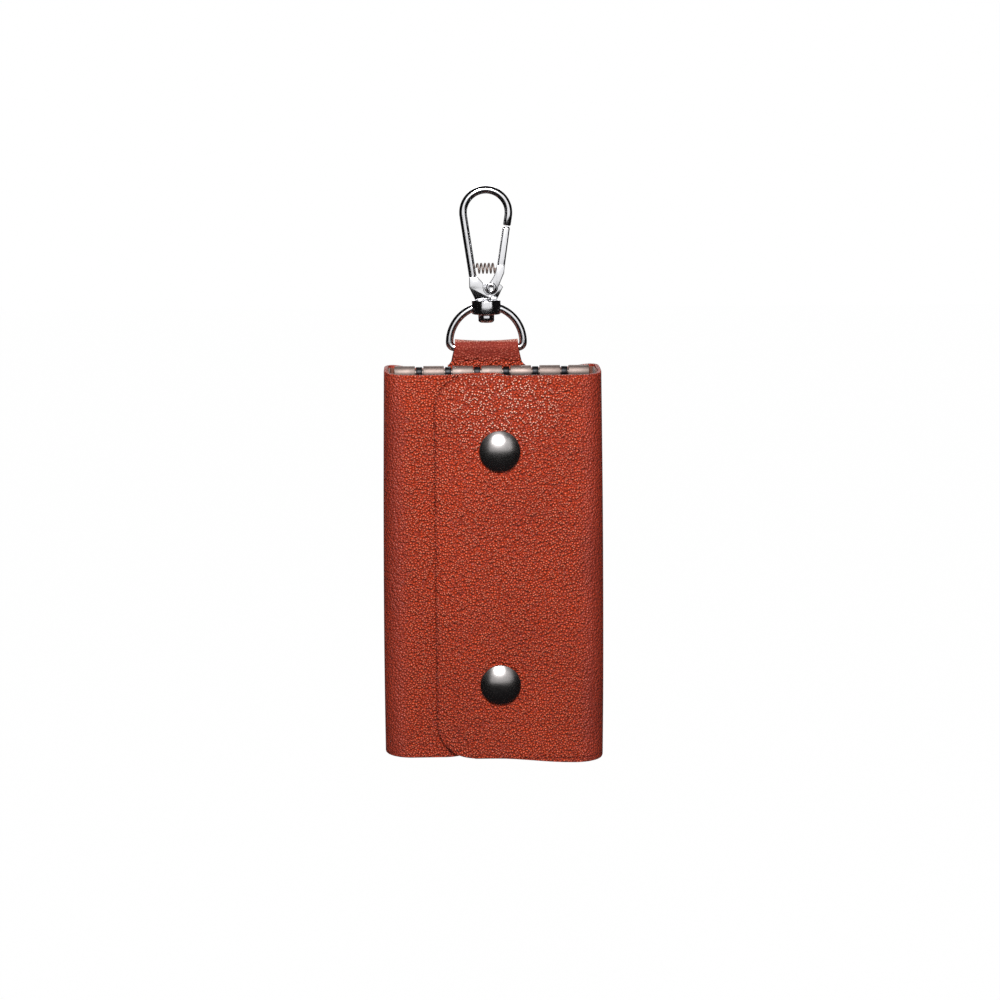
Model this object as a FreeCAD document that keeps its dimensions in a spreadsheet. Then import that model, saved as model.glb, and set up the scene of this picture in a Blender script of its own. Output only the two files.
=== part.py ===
import FreeCAD, Part
import math
import os
from types import SimpleNamespace

import Sketcher

# A leather key case that hangs closed from its swivel clasp. +Z is up, the snapped front faces -Y, and
# the origin is the point inside the top of the clasp's loop where it hangs. Sizes are millimetres.

DOCUMENT = FreeCAD.newDocument("key_case")
SHEET = DOCUMENT.addObject("Spreadsheet::Sheet", "sizes")
PLANE_NORMALS = {"XY_Plane": 1, "XZ_Plane": -1, "YZ_Plane": 1}
FULL_TURN = 360


class Size:
    """A size that carries its value and the sheet formula that gives it."""

    def __init__(self, value, formula):
        self.value = float(value)
        self.formula = formula

    def combine(self, other, sign, result):
        return Size(result, "(%s %s %s)" % (self.formula, sign, as_size(other).formula))

    def __add__(self, other):
        return self.combine(other, "+", self.value + as_size(other).value)

    def __sub__(self, other):
        return self.combine(other, "-", self.value - as_size(other).value)

    def __mul__(self, other):
        return self.combine(other, "*", self.value * as_size(other).value)

    def __truediv__(self, other):
        return self.combine(other, "/", self.value / as_size(other).value)

    def __neg__(self):
        return Size(-self.value, "(-1 * %s)" % self.formula)


def as_size(number):
    return number if isinstance(number, Size) else Size(number, str(number))


def sine(angle):
    return Size(math.sin(math.radians(angle.value)), "sin(%s * 1 deg)" % angle.formula)


def cosine(angle):
    return Size(math.cos(math.radians(angle.value)), "cos(%s * 1 deg)" % angle.formula)


# The driving dimensions: lengths in millimetres, and angles, whose names end in angle, in degrees.
DIMENSIONS = {
    # Cuts run this far past the faces that they break through.
    "overrun": 1.0,
    # Clasp: a hook of bent wire on a cast base, a sprung gate, and a swivel stud under the base.
    "clasp_length": 32.0,
    "clasp_wire": 2.4,
    "loop_radius": 6.9,
    "arm_lean_angle": 8.5,
    "foot_rise": 6.0,
    "nose_length": 3.0,
    "base_width": 6.8,
    "shoulder_width": 10.4,
    "shoulder_rise": 7.0,
    "base_rise": 5.0,
    "base_depth": 4.8,
    "pivot_offset": 1.5,
    "pivot_rise": 3.7,
    "pivot_dia": 1.8,
    "pivot_gap": 0.06,
    "pivot_head_dia": 3.2,
    "pivot_head_height": 0.5,
    "eye_radius": 2.1,
    "gate_width": 2.4,
    "gate_gap": 0.3,
    "gate_lap_gap": 0.15,
    "gate_knee_rise": 4.4,
    "gate_flare_radius": 9.0,
    "coil_rise": 9.4,
    "coil_dia": 3.4,
    "coil_wire": 0.5,
    "coil_bend": 0.5,
    "coil_seat_gap": 0.1,
    # Ring: a D of round wire with a boss in its crown for the swivel stud.
    "ring_wire": 2.4,
    "ring_inside": 20.2,
    "ring_corner": 1.5,
    "bar_drop": 14.6,
    "boss_dia": 9.0,
    "boss_height": 4.4,
    "boss_bevel": 0.4,
    "swivel_gap": 0.15,
    "stud_dia": 3.0,
    "stud_grip": 1.0,
    "stud_gap": 0.08,
    "stud_head_dia": 5.0,
    "stud_head_height": 2.4,
    # Strap: a leather tab folded over the ring's bar, its two tails side by side in the back panel.
    "strap_slack": 0.15,
    "strap_width": 19.6,
    "strap_foot_width": 23.4,
    "strap_rise": 5.3,
    "strap_tail": 13.0,
    "strap_notch_gap": 0.2,
    # Case: back panel, a spine at each side, and two flaps that lap over each other in front.
    "case_width": 65.0,
    "case_height": 120.0,
    "case_depth": 23.0,
    "case_offset": 1.5,
    "leather": 1.2,
    "lining": 0.5,
    "board": 1.4,
    "board_margin": 2.0,
    "bend_radius": 8.0,
    "back_bend_radius": 5.0,
    "fold_slit_angle": 1.2,
    "flap_gap": 0.3,
    "flap_edge_inset": 14.8,
    "flap_corner": 11.0,
    "tongue_margin": 6.7,
    "tongue_corner": 8.0,
    "joggle_start": 2.4,
    "joggle_margin": 7.3,
    "fold_angle": 45,
    # Snaps: cap and socket on the upper flap, stud and post on the lower one.
    "snap_offset": 1.8,
    "snap_inset": 23.7,
    "snap_gap": 3.4,
    "cap_dia": 12.5,
    "cap_rise": 2.6,
    "cap_rim": 0.6,
    "cap_post_dia": 3.8,
    "post_gap": 0.1,
    "peen": 0.25,
    "socket_dia": 11.0,
    "socket_height": 2.7,
    "socket_floor": 0.4,
    "socket_bore": 7.0,
    "socket_bevel": 0.6,
    "wire_ring_dia": 0.6,
    "wire_ring_gap": 0.05,
    "wire_ring_angle": 320,
    "stud_flange_dia": 9.2,
    "stud_flange": 0.45,
    "stud_bulb_dia": 4.4,
    "stud_neck_dia": 3.7,
    "stud_rise": 2.5,
    "stud_bulb_height": 1.2,
    "post_dia": 3.2,
    "post_cap_dia": 9.6,
    "post_cap_rise": 0.8,
    "post_cap_rim": 0.3,
    # Key holder: a steel plate rolled into knuckles round an axle that carries the key hooks.
    "sheet_steel": 0.9,
    "plate_margin": 2.7,
    "end_knuckle": 6.2,
    "plate_drop": 13.0,
    "axle_dia": 2.0,
    "axle_gap": 0.1,
    "knuckle_wrap_angle": 285,
    "hook_slot": 2.6,
    "slot_depth": 2.8,
    "rivet_dia": 2.4,
    "rivet_gap": 0.05,
    "rivet_head_dia": 4.2,
    "rivet_head_height": 1.0,
    "rivet_drop": 8.8,
    "hook_thickness": 1.9,
    "hook_eye_gap": 0.08,
    "hook_eye_wall": 0.62,
    "hook_back": 0.6,
    "hook_limb": 1.3,
    "hook_margin": 2.5,
    "hook_shank": 20.0,
    "hook_tip": 2.0,
    "leaf_steel": 0.4,
    "leaf_width": 1.5,
    "leaf_root_dia": 1.0,
    "leaf_root_drop": 6.0,
    "leaf_root_gap": 0.1,
    "leaf_stand": 0.35,
    "leaf_end_rise": 1.2,
    "leaf_end_gap": 0.15,
}

# Counts of what repeats.
COIL_TURNS = 4
BIARCS_PER_TURN = 4
KNUCKLES = 7
HOOKS = KNUCKLES - 1
RIVETED_KNUCKLES = (1, KNUCKLES // 2, KNUCKLES - 2)

for row, (alias, value) in enumerate(DIMENSIONS.items(), start=1):
    SHEET.set("A%d" % row, alias)
    SHEET.set("B%d" % row, str(value))
    SHEET.setAlias("B%d" % row, alias)
d = SimpleNamespace(**{alias: Size(value, "sizes." + alias) for alias, value in DIMENSIONS.items()})
ZERO = as_size(0)

# Places that follow from the sizes.
loop_center_z = -(d.loop_radius - d.clasp_wire / 2)
tangent_x = d.loop_radius * cosine(d.arm_lean_angle)
tangent_z = loop_center_z - d.loop_radius * sine(d.arm_lean_angle)
base_bottom = -d.clasp_length
arm_length = (tangent_z - base_bottom - d.foot_rise) / cosine(d.arm_lean_angle)
pivot_x = d.pivot_offset
pivot_z = base_bottom + d.pivot_rise
boss_top = base_bottom - d.swivel_gap
boss_bottom = boss_top - d.boss_height
bar_z = boss_top - d.bar_drop
leg_x = d.ring_inside / 2 + d.ring_wire / 2
strap_layer = d.board / 2
rim_z = bar_z - d.strap_rise
bottom_z = rim_z - d.case_height
case_left = d.case_offset - d.case_width / 2
case_right = d.case_offset + d.case_width / 2
shell = d.leather + d.lining
back_y = d.board / 2 + d.leather
front_y = back_y - d.case_depth
lining_y = -(d.board / 2 + d.lining)
upper_flap_inside = front_y + shell
lower_flap_y = upper_flap_inside + d.flap_gap
tongue_y = upper_flap_inside + d.snap_gap
snap_x = d.case_offset + d.snap_offset
flap_edge = case_left + d.flap_edge_inset
tongue_edge = snap_x + d.tongue_margin
knuckle_radius = d.axle_dia / 2 + d.axle_gap + d.sheet_steel
axle_y = lining_y - knuckle_radius
axle_z = rim_z - knuckle_radius
plate_width = d.case_width - d.plate_margin * 2
plate_left = d.case_offset - plate_width / 2
hook_pitch = (plate_width - d.end_knuckle) / HOOKS
rivet_z = rim_z - d.rivet_drop
post_inside = tongue_y + shell + d.post_cap_rise
hook_back_y = axle_y + d.hook_back
hook_throat = hook_back_y - d.hook_limb * 2 - post_inside - d.hook_margin


class Outline:
    """A closed or open run of lines and arcs through points given as Sizes."""

    def __init__(self, start):
        self.points = [start]
        self.edges = []

    def line(self, *points):
        for point in points:
            self.points.append(point)
            self.edges.append(None)
        return self

    def arc(self, point, radius, left=True):
        self.points.append(point)
        self.edges.append((radius, left))
        return self

    def close(self):
        self.edges.append(None)
        return self


def sketch_on(body, role, shift=(ZERO, ZERO, ZERO)):
    sketch = body.newObject("Sketcher::SketchObject", body.Name + "_sketch")
    plane = [feature for feature in body.Origin.OriginFeatures if feature.Role == role][0]
    sketch.AttachmentSupport = [(plane, "")]
    sketch.MapMode = "FlatFace"
    for axis, size in zip("xyz", shift):
        if size is not ZERO:
            sketch.setExpression("AttachmentOffset.Base." + axis, size.formula)
    return sketch


def bind(sketch, constraint, size):
    index = sketch.addConstraint(constraint)
    sketch.setExpression("Constraints[%d]" % index, size.formula)


def pin_point(sketch, geometry, end, point):
    """Fix one end of a sketch edge at a point given as Sizes."""
    for kind, axis, size in (("DistanceX", -2, point[0]), ("DistanceY", -1, point[1])):
        if size is ZERO:
            sketch.addConstraint(Sketcher.Constraint("PointOnObject", geometry, end, axis))
        else:
            bind(sketch, Sketcher.Constraint(kind, -1, 1, geometry, end, size.value), size)


def vector(point):
    return FreeCAD.Vector(point[0].value, point[1].value, 0)


def arc_through(start, end, radius, left):
    """The short arc between two points that turns left or right."""
    chord = end - start
    rise = math.sqrt(max(radius ** 2 - chord.Length ** 2 / 4, 0))
    side = FreeCAD.Vector(-chord.y, chord.x, 0) * (rise / chord.Length)
    center = (start + end) / 2 + (side if left else -side)
    circle = Part.Circle(center, FreeCAD.Vector(0, 0, 1), radius)
    first, last = (start, end) if left else (end, start)
    return Part.ArcOfCircle(circle, circle.parameter(first), circle.parameter(last))


def draw(sketch, outline):
    """Draw an outline with every corner and radius bound to the sheet."""
    points = outline.points
    ends = []
    for index, edge in enumerate(outline.edges):
        start, end = points[index], points[(index + 1) % len(points)]
        if edge is None:
            geometry = sketch.addGeometry(Part.LineSegment(vector(start), vector(end)))
            ends.append((geometry, 1, 2))
        else:
            radius, left = edge
            geometry = sketch.addGeometry(arc_through(vector(start), vector(end), radius.value, left))
            ends.append((geometry, 1, 2) if left else (geometry, 2, 1))
            bind(sketch, Sketcher.Constraint("Radius", geometry, radius.value), radius)
        pin_point(sketch, geometry, ends[-1][1], start)
    closed = len(outline.edges) == len(points)
    for index, (geometry, first, last) in enumerate(ends):
        if index + 1 < len(ends) or closed:
            following = ends[(index + 1) % len(ends)]
            joint = Sketcher.Constraint("Coincident", geometry, last, following[0], following[1])
            sketch.addConstraint(joint)
    if not closed:
        pin_point(sketch, ends[-1][0], ends[-1][2], points[-1])


def draw_circle(sketch, center, radius):
    circle = Part.Circle(vector(center), FreeCAD.Vector(0, 0, 1), radius.value)
    geometry = sketch.addGeometry(circle)
    bind(sketch, Sketcher.Constraint("Radius", geometry, radius.value), radius)
    pin_point(sketch, geometry, 3, center)


def fill(sketch, shapes):
    for shape in shapes:
        if isinstance(shape, Outline):
            draw(sketch, shape)
        else:
            draw_circle(sketch, *shape)


def new_body(name):
    body = DOCUMENT.addObject("PartDesign::Body", name)
    body.Label = name
    return body


def feature_on(body, kind, sketch):
    feature = body.newObject("PartDesign::" + kind, body.Name + "_" + kind.lower())
    feature.Profile = sketch
    return feature


def pad(body, role, shapes, low, high):
    """Fill shapes between two levels along the plane's own axis."""
    level = low if PLANE_NORMALS[role] > 0 else -high
    sketch = sketch_on(body, role, (ZERO, ZERO, level))
    fill(sketch, shapes)
    feature = feature_on(body, "Pad", sketch)
    feature.setExpression("Length", (high - low).formula)
    DOCUMENT.recompute()
    return feature


def pocket(body, role, shapes, low, high):
    """Cut shapes away between two levels along the plane's own axis."""
    level = high if PLANE_NORMALS[role] > 0 else -low
    sketch = sketch_on(body, role, (ZERO, ZERO, level))
    fill(sketch, shapes)
    feature = feature_on(body, "Pocket", sketch)
    feature.setExpression("Length", (high - low).formula)
    DOCUMENT.recompute()
    return feature


def turn(body, role, outline, shift, angle=FULL_TURN):
    """Revolve a half section about the sketch's own upright axis."""
    sketch = sketch_on(body, role, shift)
    draw(sketch, outline)
    feature = feature_on(body, "Revolution", sketch)
    feature.ReferenceAxis = (sketch, ["V_Axis"])
    if isinstance(angle, Size):
        feature.setExpression("Angle", angle.formula)
    else:
        feature.Angle = angle
    DOCUMENT.recompute()
    return feature


def repeat(body, feature, pitch, count):
    """Repeat a feature along X."""
    axis = [origin for origin in body.Origin.OriginFeatures if origin.Role == "X_Axis"][0]
    pattern = body.newObject("PartDesign::LinearPattern", body.Name + "_pattern")
    pattern.Originals = [feature]
    pattern.Direction = (axis, [""])
    pattern.setExpression("Length", (pitch * (count - 1)).formula)
    pattern.Occurrences = count
    body.Tip = pattern
    DOCUMENT.recompute()


def rectangle(left, right, low, high):
    return Outline((left, low)).line((right, low), (right, high), (left, high)).close()


def polar(center, radius, angle):
    return (center[0] + radius * cosine(angle), center[1] + radius * sine(angle))


def dome_radius(half_width, rise):
    """The radius of an arc of this rise across a head."""
    return (half_width * half_width + rise * rise) / (rise * 2)


def pipe(body, path_role, path, circle_role, circle_shift, circle_radius):
    """Carry a round section along a path."""
    path_sketch = sketch_on(body, path_role)
    draw(path_sketch, path)
    section = sketch_on(body, circle_role, circle_shift)
    draw_circle(section, (ZERO, ZERO), circle_radius)
    feature = feature_on(body, "AdditivePipe", section)
    feature.Spine = (path_sketch, [])
    DOCUMENT.recompute()
    return feature


def build_clasp_hook():
    body = new_body("clasp_hook")
    across, along = sine(d.arm_lean_angle), cosine(d.arm_lean_angle)
    foot = (-tangent_x + arm_length * across, tangent_z - arm_length * along)
    path = Outline(foot).line((-tangent_x, tangent_z))
    path.arc((-d.loop_radius, loop_center_z), d.loop_radius, left=False)
    path.arc((ZERO, loop_center_z + d.loop_radius), d.loop_radius, left=False)
    path.arc((d.loop_radius, loop_center_z), d.loop_radius, left=False)
    path.arc((tangent_x, tangent_z), d.loop_radius, left=False)
    path.line((tangent_x - d.nose_length * across, tangent_z - d.nose_length * along))
    pipe(body, "XZ_Plane", path, "XY_Plane", (foot[0], ZERO, foot[1]), d.clasp_wire / 2)
    base_top = base_bottom + d.base_rise
    shoulder_top = base_bottom + d.shoulder_rise
    half_base = d.base_width / 2
    half_shoulder = d.shoulder_width / 2
    outline = Outline((-half_base, base_bottom))
    outline.line((half_base, base_bottom), (half_shoulder, base_bottom + d.pivot_rise))
    outline.line((pivot_x + d.eye_radius, base_top), (pivot_x - d.eye_radius, base_top))
    outline.line((-half_shoulder + d.clasp_wire, shoulder_top))
    outline.line((-half_shoulder, shoulder_top), (-half_shoulder, base_bottom + d.pivot_rise)).close()
    pad(body, "XZ_Plane", [outline], -d.base_depth / 2, d.base_depth / 2)
    lap = d.eye_radius + d.gate_gap
    recess = Outline((pivot_x + half_shoulder, pivot_z - lap))
    recess.line((pivot_x + half_shoulder, base_top + d.overrun))
    recess.line((pivot_x - lap, base_top + d.overrun), (pivot_x - lap, pivot_z))
    recess.arc((pivot_x, pivot_z - lap), lap).close()
    pocket(body, "XZ_Plane", [recess], -d.base_depth / 2 - d.overrun, ZERO)
    rivet_hole = ((pivot_x, pivot_z), d.pivot_dia / 2)
    pocket(body, "XZ_Plane", [rivet_hole], -d.overrun, d.base_depth / 2 + d.overrun)
    stud_hole = ((ZERO, ZERO), d.stud_dia / 2)
    pocket(body, "XY_Plane", [stud_hole], base_bottom - d.overrun, base_bottom + d.stud_grip)
    return body


def build_clasp_gate():
    body = new_body("clasp_gate")
    half_width = d.gate_width / 2
    across, along = sine(d.arm_lean_angle), cosine(d.arm_lean_angle)
    side_x = half_width * along
    side_z = half_width * across
    reach = d.nose_length + d.gate_gap
    top = (tangent_x - reach * across, tangent_z - reach * along)
    knee_z = pivot_z + d.gate_knee_rise
    fall = (top[1] - knee_z) * across / along
    knee = (top[0] - fall, knee_z)
    bar = Outline((knee[0] - half_width, knee_z)).line((knee[0] + half_width, knee_z))
    bar.line((top[0] + side_x, top[1] - side_z), (top[0] - side_x, top[1] + side_z)).close()
    pad(body, "XZ_Plane", [bar], -half_width, half_width)
    front = -d.base_depth / 2
    lap = -d.gate_lap_gap
    pad(body, "XZ_Plane", [((pivot_x, pivot_z), d.eye_radius)], front, lap)
    web = Outline((pivot_x - d.eye_radius, pivot_z)).line((pivot_x + d.eye_radius, pivot_z))
    web.line((knee[0] + half_width, knee_z), (knee[0] + half_width, knee_z + d.gate_width))
    web.line((knee[0] - half_width, knee_z + d.gate_width))
    web.edges.append((d.gate_flare_radius, False))
    pad(body, "XZ_Plane", [web], front, lap)
    rivet_hole = ((pivot_x, pivot_z), d.pivot_dia / 2 + d.pivot_gap)
    pocket(body, "XZ_Plane", [rivet_hole], front - d.overrun, d.overrun)
    return body


def build_clasp_rivet():
    body = new_body("clasp_rivet")
    seat = -d.base_depth / 2
    half_head = d.pivot_head_dia / 2
    dome = dome_radius(half_head, d.pivot_head_height)
    outline = Outline((ZERO, seat - d.pivot_head_height)).arc((half_head, seat), dome)
    outline.line((d.pivot_dia / 2, seat), (d.pivot_dia / 2, d.base_depth / 2))
    outline.line((ZERO, d.base_depth / 2)).close()
    turn(body, "XY_Plane", outline, (pivot_x, ZERO, pivot_z))
    return body


def biarc(start, start_way, end, end_way):
    """Two tangent arcs from one point and direction to another."""
    span = end - start
    ways = start_way + end_way
    squared = ways.dot(ways) - 4
    product = span.dot(ways)
    reach = (product - math.sqrt(product ** 2 - squared * span.dot(span))) / squared
    middle = (start + end + (start_way - end_way) * reach) / 2
    edges = []
    for first, way, last in ((start, start_way, middle), (end, -end_way, middle)):
        chord = last - first
        side = way - chord * (way.dot(chord) / chord.dot(chord))
        half_turn = math.atan2(side.Length * chord.Length, way.dot(chord)) / 2
        crown = (first + last) / 2 + side.normalize() * (chord.Length / 2 * math.tan(half_turn))
        edges.append((first, crown, last))
    (first, crown, middle), (end, other_crown, middle) = edges
    return [Part.Arc(first, crown, middle).toShape(), Part.Arc(middle, other_crown, end).toShape()]


def build_clasp_spring():
    """The gate's coil spring: an even helix along X with a straight lead at each end."""
    feature = DOCUMENT.addObject("Part::Feature", "clasp_spring")
    feature.Label = "clasp_spring"
    middle_z = (base_bottom + d.coil_rise).value
    fall = (tangent_z.value - middle_z) * math.tan(math.radians(d.arm_lean_angle.value))
    half_wire = d.clasp_wire.value / 2
    seat_x = tangent_x.value - fall - half_wire / math.cos(math.radians(d.arm_lean_angle.value))
    mean_radius = (d.coil_dia.value - d.coil_wire.value) / 2
    lead = d.coil_bend.value + d.coil_wire.value + d.coil_seat_gap.value
    helix_length = 2 * (seat_x - lead)
    pitch = helix_length / COIL_TURNS
    slope = pitch / (2 * math.pi)
    steps = COIL_TURNS * BIARCS_PER_TURN
    points = []
    ways = []
    for step in range(steps + 1):
        angle = 2 * math.pi * step / BIARCS_PER_TURN
        across, up = mean_radius * math.cos(angle), mean_radius * math.sin(angle)
        points.append(FreeCAD.Vector(slope * angle - helix_length / 2, across, middle_z + up))
        ways.append(FreeCAD.Vector(slope, -up, across).normalize())
    along = FreeCAD.Vector(1, 0, 0)
    turn_in = points[0] - (ways[0] + along) * d.coil_bend.value
    turn_out = points[-1] + (ways[-1] + along) * d.coil_bend.value
    first = turn_in - along * d.coil_wire.value
    last = turn_out + along * d.coil_wire.value
    points = [turn_in] + points + [turn_out]
    ways = [along] + ways + [along]
    edges = [Part.makeLine(first, turn_in)]
    for step in range(steps + 2):
        edges.extend(biarc(points[step], ways[step], points[step + 1], ways[step + 1]))
    edges.append(Part.makeLine(turn_out, last))
    path = Part.Wire(edges)
    section = Part.Wire(Part.Circle(first, along, d.coil_wire.value / 2).toShape())
    feature.Shape = path.makePipeShell([section], True, False)
    wire_points = [edge.valueAt(edge.FirstParameter) for edge in edges]
    apart = [
        (first - second).Length - d.coil_wire.value
        for index, first in enumerate(wire_points)
        for second in wire_points[index + 2 * BIARCS_PER_TURN - 2:]
    ]
    print("clasp_spring least gap between turns: %.2f mm" % min(apart))
    return feature


def build_swivel_stud():
    body = new_body("swivel_stud")
    head_top = boss_bottom - d.swivel_gap
    head_bottom = head_top - d.stud_head_height
    half_stud = d.stud_dia / 2
    half_head = d.stud_head_dia / 2
    outline = Outline((ZERO, base_bottom + d.stud_grip))
    outline.line((ZERO, head_bottom), (half_head - d.boss_bevel, head_bottom))
    outline.line((half_head, head_bottom + d.boss_bevel), (half_head, head_top))
    outline.line((half_stud, head_top), (half_stud, base_bottom + d.stud_grip)).close()
    turn(body, "XZ_Plane", outline, (ZERO, ZERO, ZERO))
    return body


def build_d_ring():
    body = new_body("d_ring")
    arch_z = bar_z + d.ring_corner
    straight = leg_x - d.ring_corner
    path = Outline((ZERO, arch_z + leg_x)).arc((leg_x, arch_z), leg_x, left=False)
    path.arc((straight, bar_z), d.ring_corner, left=False).line((-straight, bar_z))
    path.arc((-leg_x, arch_z), d.ring_corner, left=False)
    path.edges.append((leg_x, False))
    pipe(body, "XZ_Plane", path, "YZ_Plane", (ZERO, arch_z + leg_x, ZERO), d.ring_wire / 2)
    half_boss = d.boss_dia / 2
    boss = Outline((ZERO, boss_bottom)).line((half_boss - d.boss_bevel, boss_bottom))
    boss.line((half_boss, boss_bottom + d.boss_bevel), (half_boss, boss_top - d.boss_bevel))
    boss.line((half_boss - d.boss_bevel, boss_top), (ZERO, boss_top)).close()
    turn(body, "XZ_Plane", boss, (ZERO, ZERO, ZERO))
    bore = ((ZERO, ZERO), d.stud_dia / 2 + d.stud_gap)
    pocket(body, "XY_Plane", [bore], boss_bottom - d.overrun, boss_top + d.overrun)
    return body


def build_strap_tab():
    body = new_body("strap_tab")
    inner = d.ring_wire / 2 + d.strap_slack
    outer = inner + strap_layer
    tail_z = rim_z - d.strap_tail
    outside = Outline((outer, bar_z)).arc((ZERO, bar_z + outer), outer).arc((-outer, bar_z), outer)
    outside.line((-strap_layer, rim_z), (-strap_layer, tail_z))
    outside.line((strap_layer, tail_z), (strap_layer, rim_z)).close()
    eye = Outline((inner, bar_z)).arc((ZERO, bar_z + inner), inner).arc((-inner, bar_z), inner)
    eye.line((ZERO, rim_z)).close()
    half_foot = d.strap_foot_width / 2
    pad(body, "YZ_Plane", [outside, eye], -half_foot, half_foot)
    flare_z = bar_z - outer
    crown_z = bar_z + outer + d.overrun
    trims = []
    for side in (-1, 1):
        trim = Outline((half_foot * side, rim_z)).line((d.strap_width / 2 * side, flare_z))
        trim.line((d.strap_width / 2 * side, crown_z), ((half_foot + d.overrun) * side, crown_z))
        trims.append(trim.line(((half_foot + d.overrun) * side, rim_z)).close())
    pocket(body, "XZ_Plane", trims, -outer - d.overrun, outer + d.overrun)
    middle_hole = rivet_holes(rivet_places()[1:2])
    pocket(body, "XZ_Plane", middle_hole, -strap_layer - d.overrun, strap_layer + d.overrun)
    return body


def bend_point(center, radius, angle, slit):
    """A point on a bend, turned off the fold line by half the slit."""
    return polar(center, radius, angle + slit)


def build_back_leather():
    body = new_body("back_leather")
    left = (case_left + d.back_bend_radius, back_y - d.back_bend_radius)
    right = (case_right - d.back_bend_radius, back_y - d.back_bend_radius)
    inner = d.back_bend_radius - d.leather
    up = d.fold_angle * 2
    outline = Outline(bend_point(right, d.back_bend_radius, d.fold_angle, d.fold_slit_angle))
    outline.arc((right[0], back_y), d.back_bend_radius).line((left[0], back_y))
    left_end = bend_point(left, d.back_bend_radius, up + d.fold_angle, -d.fold_slit_angle)
    outline.arc(left_end, d.back_bend_radius)
    outline.line(bend_point(left, inner, up + d.fold_angle, -d.fold_slit_angle))
    outline.arc((left[0], back_y - d.leather), inner, left=False).line((right[0], back_y - d.leather))
    outline.arc(bend_point(right, inner, d.fold_angle, d.fold_slit_angle), inner, left=False).close()
    pad(body, "XY_Plane", [outline], bottom_z, rim_z)
    return body


def knuckle_place(index):
    return d.case_offset + hook_pitch * index - hook_pitch * (KNUCKLES - 1) / 2


def rivet_places():
    return [knuckle_place(index) for index in RIVETED_KNUCKLES]


def rivet_holes(places):
    return [((x, rivet_z), d.rivet_dia / 2 + d.rivet_gap) for x in places]


def build_backing_board():
    body = new_body("backing_board")
    left = case_left + d.back_bend_radius + d.board_margin
    right = case_right - d.back_bend_radius - d.board_margin
    notch = d.strap_foot_width / 2 + d.strap_notch_gap
    notch_z = rim_z - d.strap_tail - d.strap_notch_gap
    top_z = rim_z - d.board_margin
    low_z = bottom_z + d.board_margin
    outline = Outline((left, low_z)).line((right, low_z), (right, top_z), (notch, top_z), (notch, notch_z))
    outline.line((-notch, notch_z), (-notch, top_z), (left, top_z)).close()
    pad(body, "XZ_Plane", [outline], -d.board / 2, d.board / 2)
    holes = rivet_holes(rivet_places()[::2])
    pocket(body, "XZ_Plane", holes, -d.board / 2 - d.overrun, d.board / 2 + d.overrun)
    return body


def build_back_lining():
    body = new_body("back_lining")
    left = case_left + d.back_bend_radius
    right = case_right - d.back_bend_radius
    holes = rivet_holes(rivet_places())
    pad(body, "XZ_Plane", [rectangle(left, right, bottom_z, rim_z)], lining_y, lining_y + d.lining)
    pocket(body, "XZ_Plane", holes, lining_y - d.overrun, lining_y + d.lining + d.overrun)
    return body


def build_spine(name, side, flap_y, outset, thickness):
    """One layer of a side spine: half of the back bend, the flat, and half of the front bend."""
    body = new_body(name)
    edge = case_left if side < 0 else case_right
    back = (edge - d.back_bend_radius * side, back_y - d.back_bend_radius)
    front = (edge - d.bend_radius * side, flap_y + d.bend_radius)
    facing_left = side < 0
    level = d.fold_angle * 4 if facing_left else d.fold_angle * 0
    tilt = d.fold_angle * side
    slit = d.fold_slit_angle * side
    outer_x = edge - outset * side
    inner_x = outer_x - thickness * side
    back_outer = d.back_bend_radius - outset
    back_inner = back_outer - thickness
    front_outer = d.bend_radius - outset
    front_inner = front_outer - thickness
    outline = Outline(bend_point(back, back_outer, level + tilt, -slit))
    outline.arc((outer_x, back[1]), back_outer, left=facing_left).line((outer_x, front[1]))
    outline.arc(bend_point(front, front_outer, level - tilt, slit), front_outer, left=facing_left)
    outline.line(bend_point(front, front_inner, level - tilt, slit))
    outline.arc((inner_x, front[1]), front_inner, left=not facing_left).line((inner_x, back[1]))
    outline.arc(bend_point(back, back_inner, level + tilt, -slit), back_inner, left=not facing_left).close()
    pad(body, "XY_Plane", [outline], bottom_z, rim_z)
    return body


def corner_cuts(edge, radius, side):
    """Spandrels that round the two free corners of a flap."""
    cuts = []
    for level, up in ((rim_z, 1), (bottom_z, -1)):
        beyond = level + d.overrun * up
        outside = edge + d.overrun * side
        cut = Outline((edge, level - radius * up))
        cut.arc((edge - radius * side, level), radius, left=side * up > 0)
        cut.line((edge - radius * side, beyond), (outside, beyond), (outside, level - radius * up))
        cuts.append(cut.close())
    return cuts


def snap_heights():
    return {"upper": rim_z - d.snap_inset, "lower": bottom_z + d.snap_inset}


def finish_flap(body, edge, radius, side, hole_dia):
    near = front_y - d.overrun
    far = back_y
    pocket(body, "XZ_Plane", corner_cuts(edge, radius, side), near, far)
    holes = [((snap_x, z), hole_dia / 2 + d.post_gap) for z in snap_heights().values()]
    pocket(body, "XZ_Plane", holes, near, far)


def build_right_flap(name, outset, thickness):
    """One layer of the upper flap, which wraps over the front from the right."""
    body = new_body(name)
    center = (case_right - d.bend_radius, front_y + d.bend_radius)
    outer = d.bend_radius - outset
    inner = outer - thickness
    angle = -d.fold_angle
    outline = Outline(bend_point(center, inner, angle, -d.fold_slit_angle))
    outline.arc((center[0], center[1] - inner), inner, left=False).line((flap_edge, center[1] - inner))
    outline.line((flap_edge, center[1] - outer), (center[0], center[1] - outer))
    outline.arc(bend_point(center, outer, angle, -d.fold_slit_angle), outer).close()
    pad(body, "XY_Plane", [outline], bottom_z, rim_z)
    finish_flap(body, flap_edge, d.flap_corner, -1, d.cap_post_dia)
    return body


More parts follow.
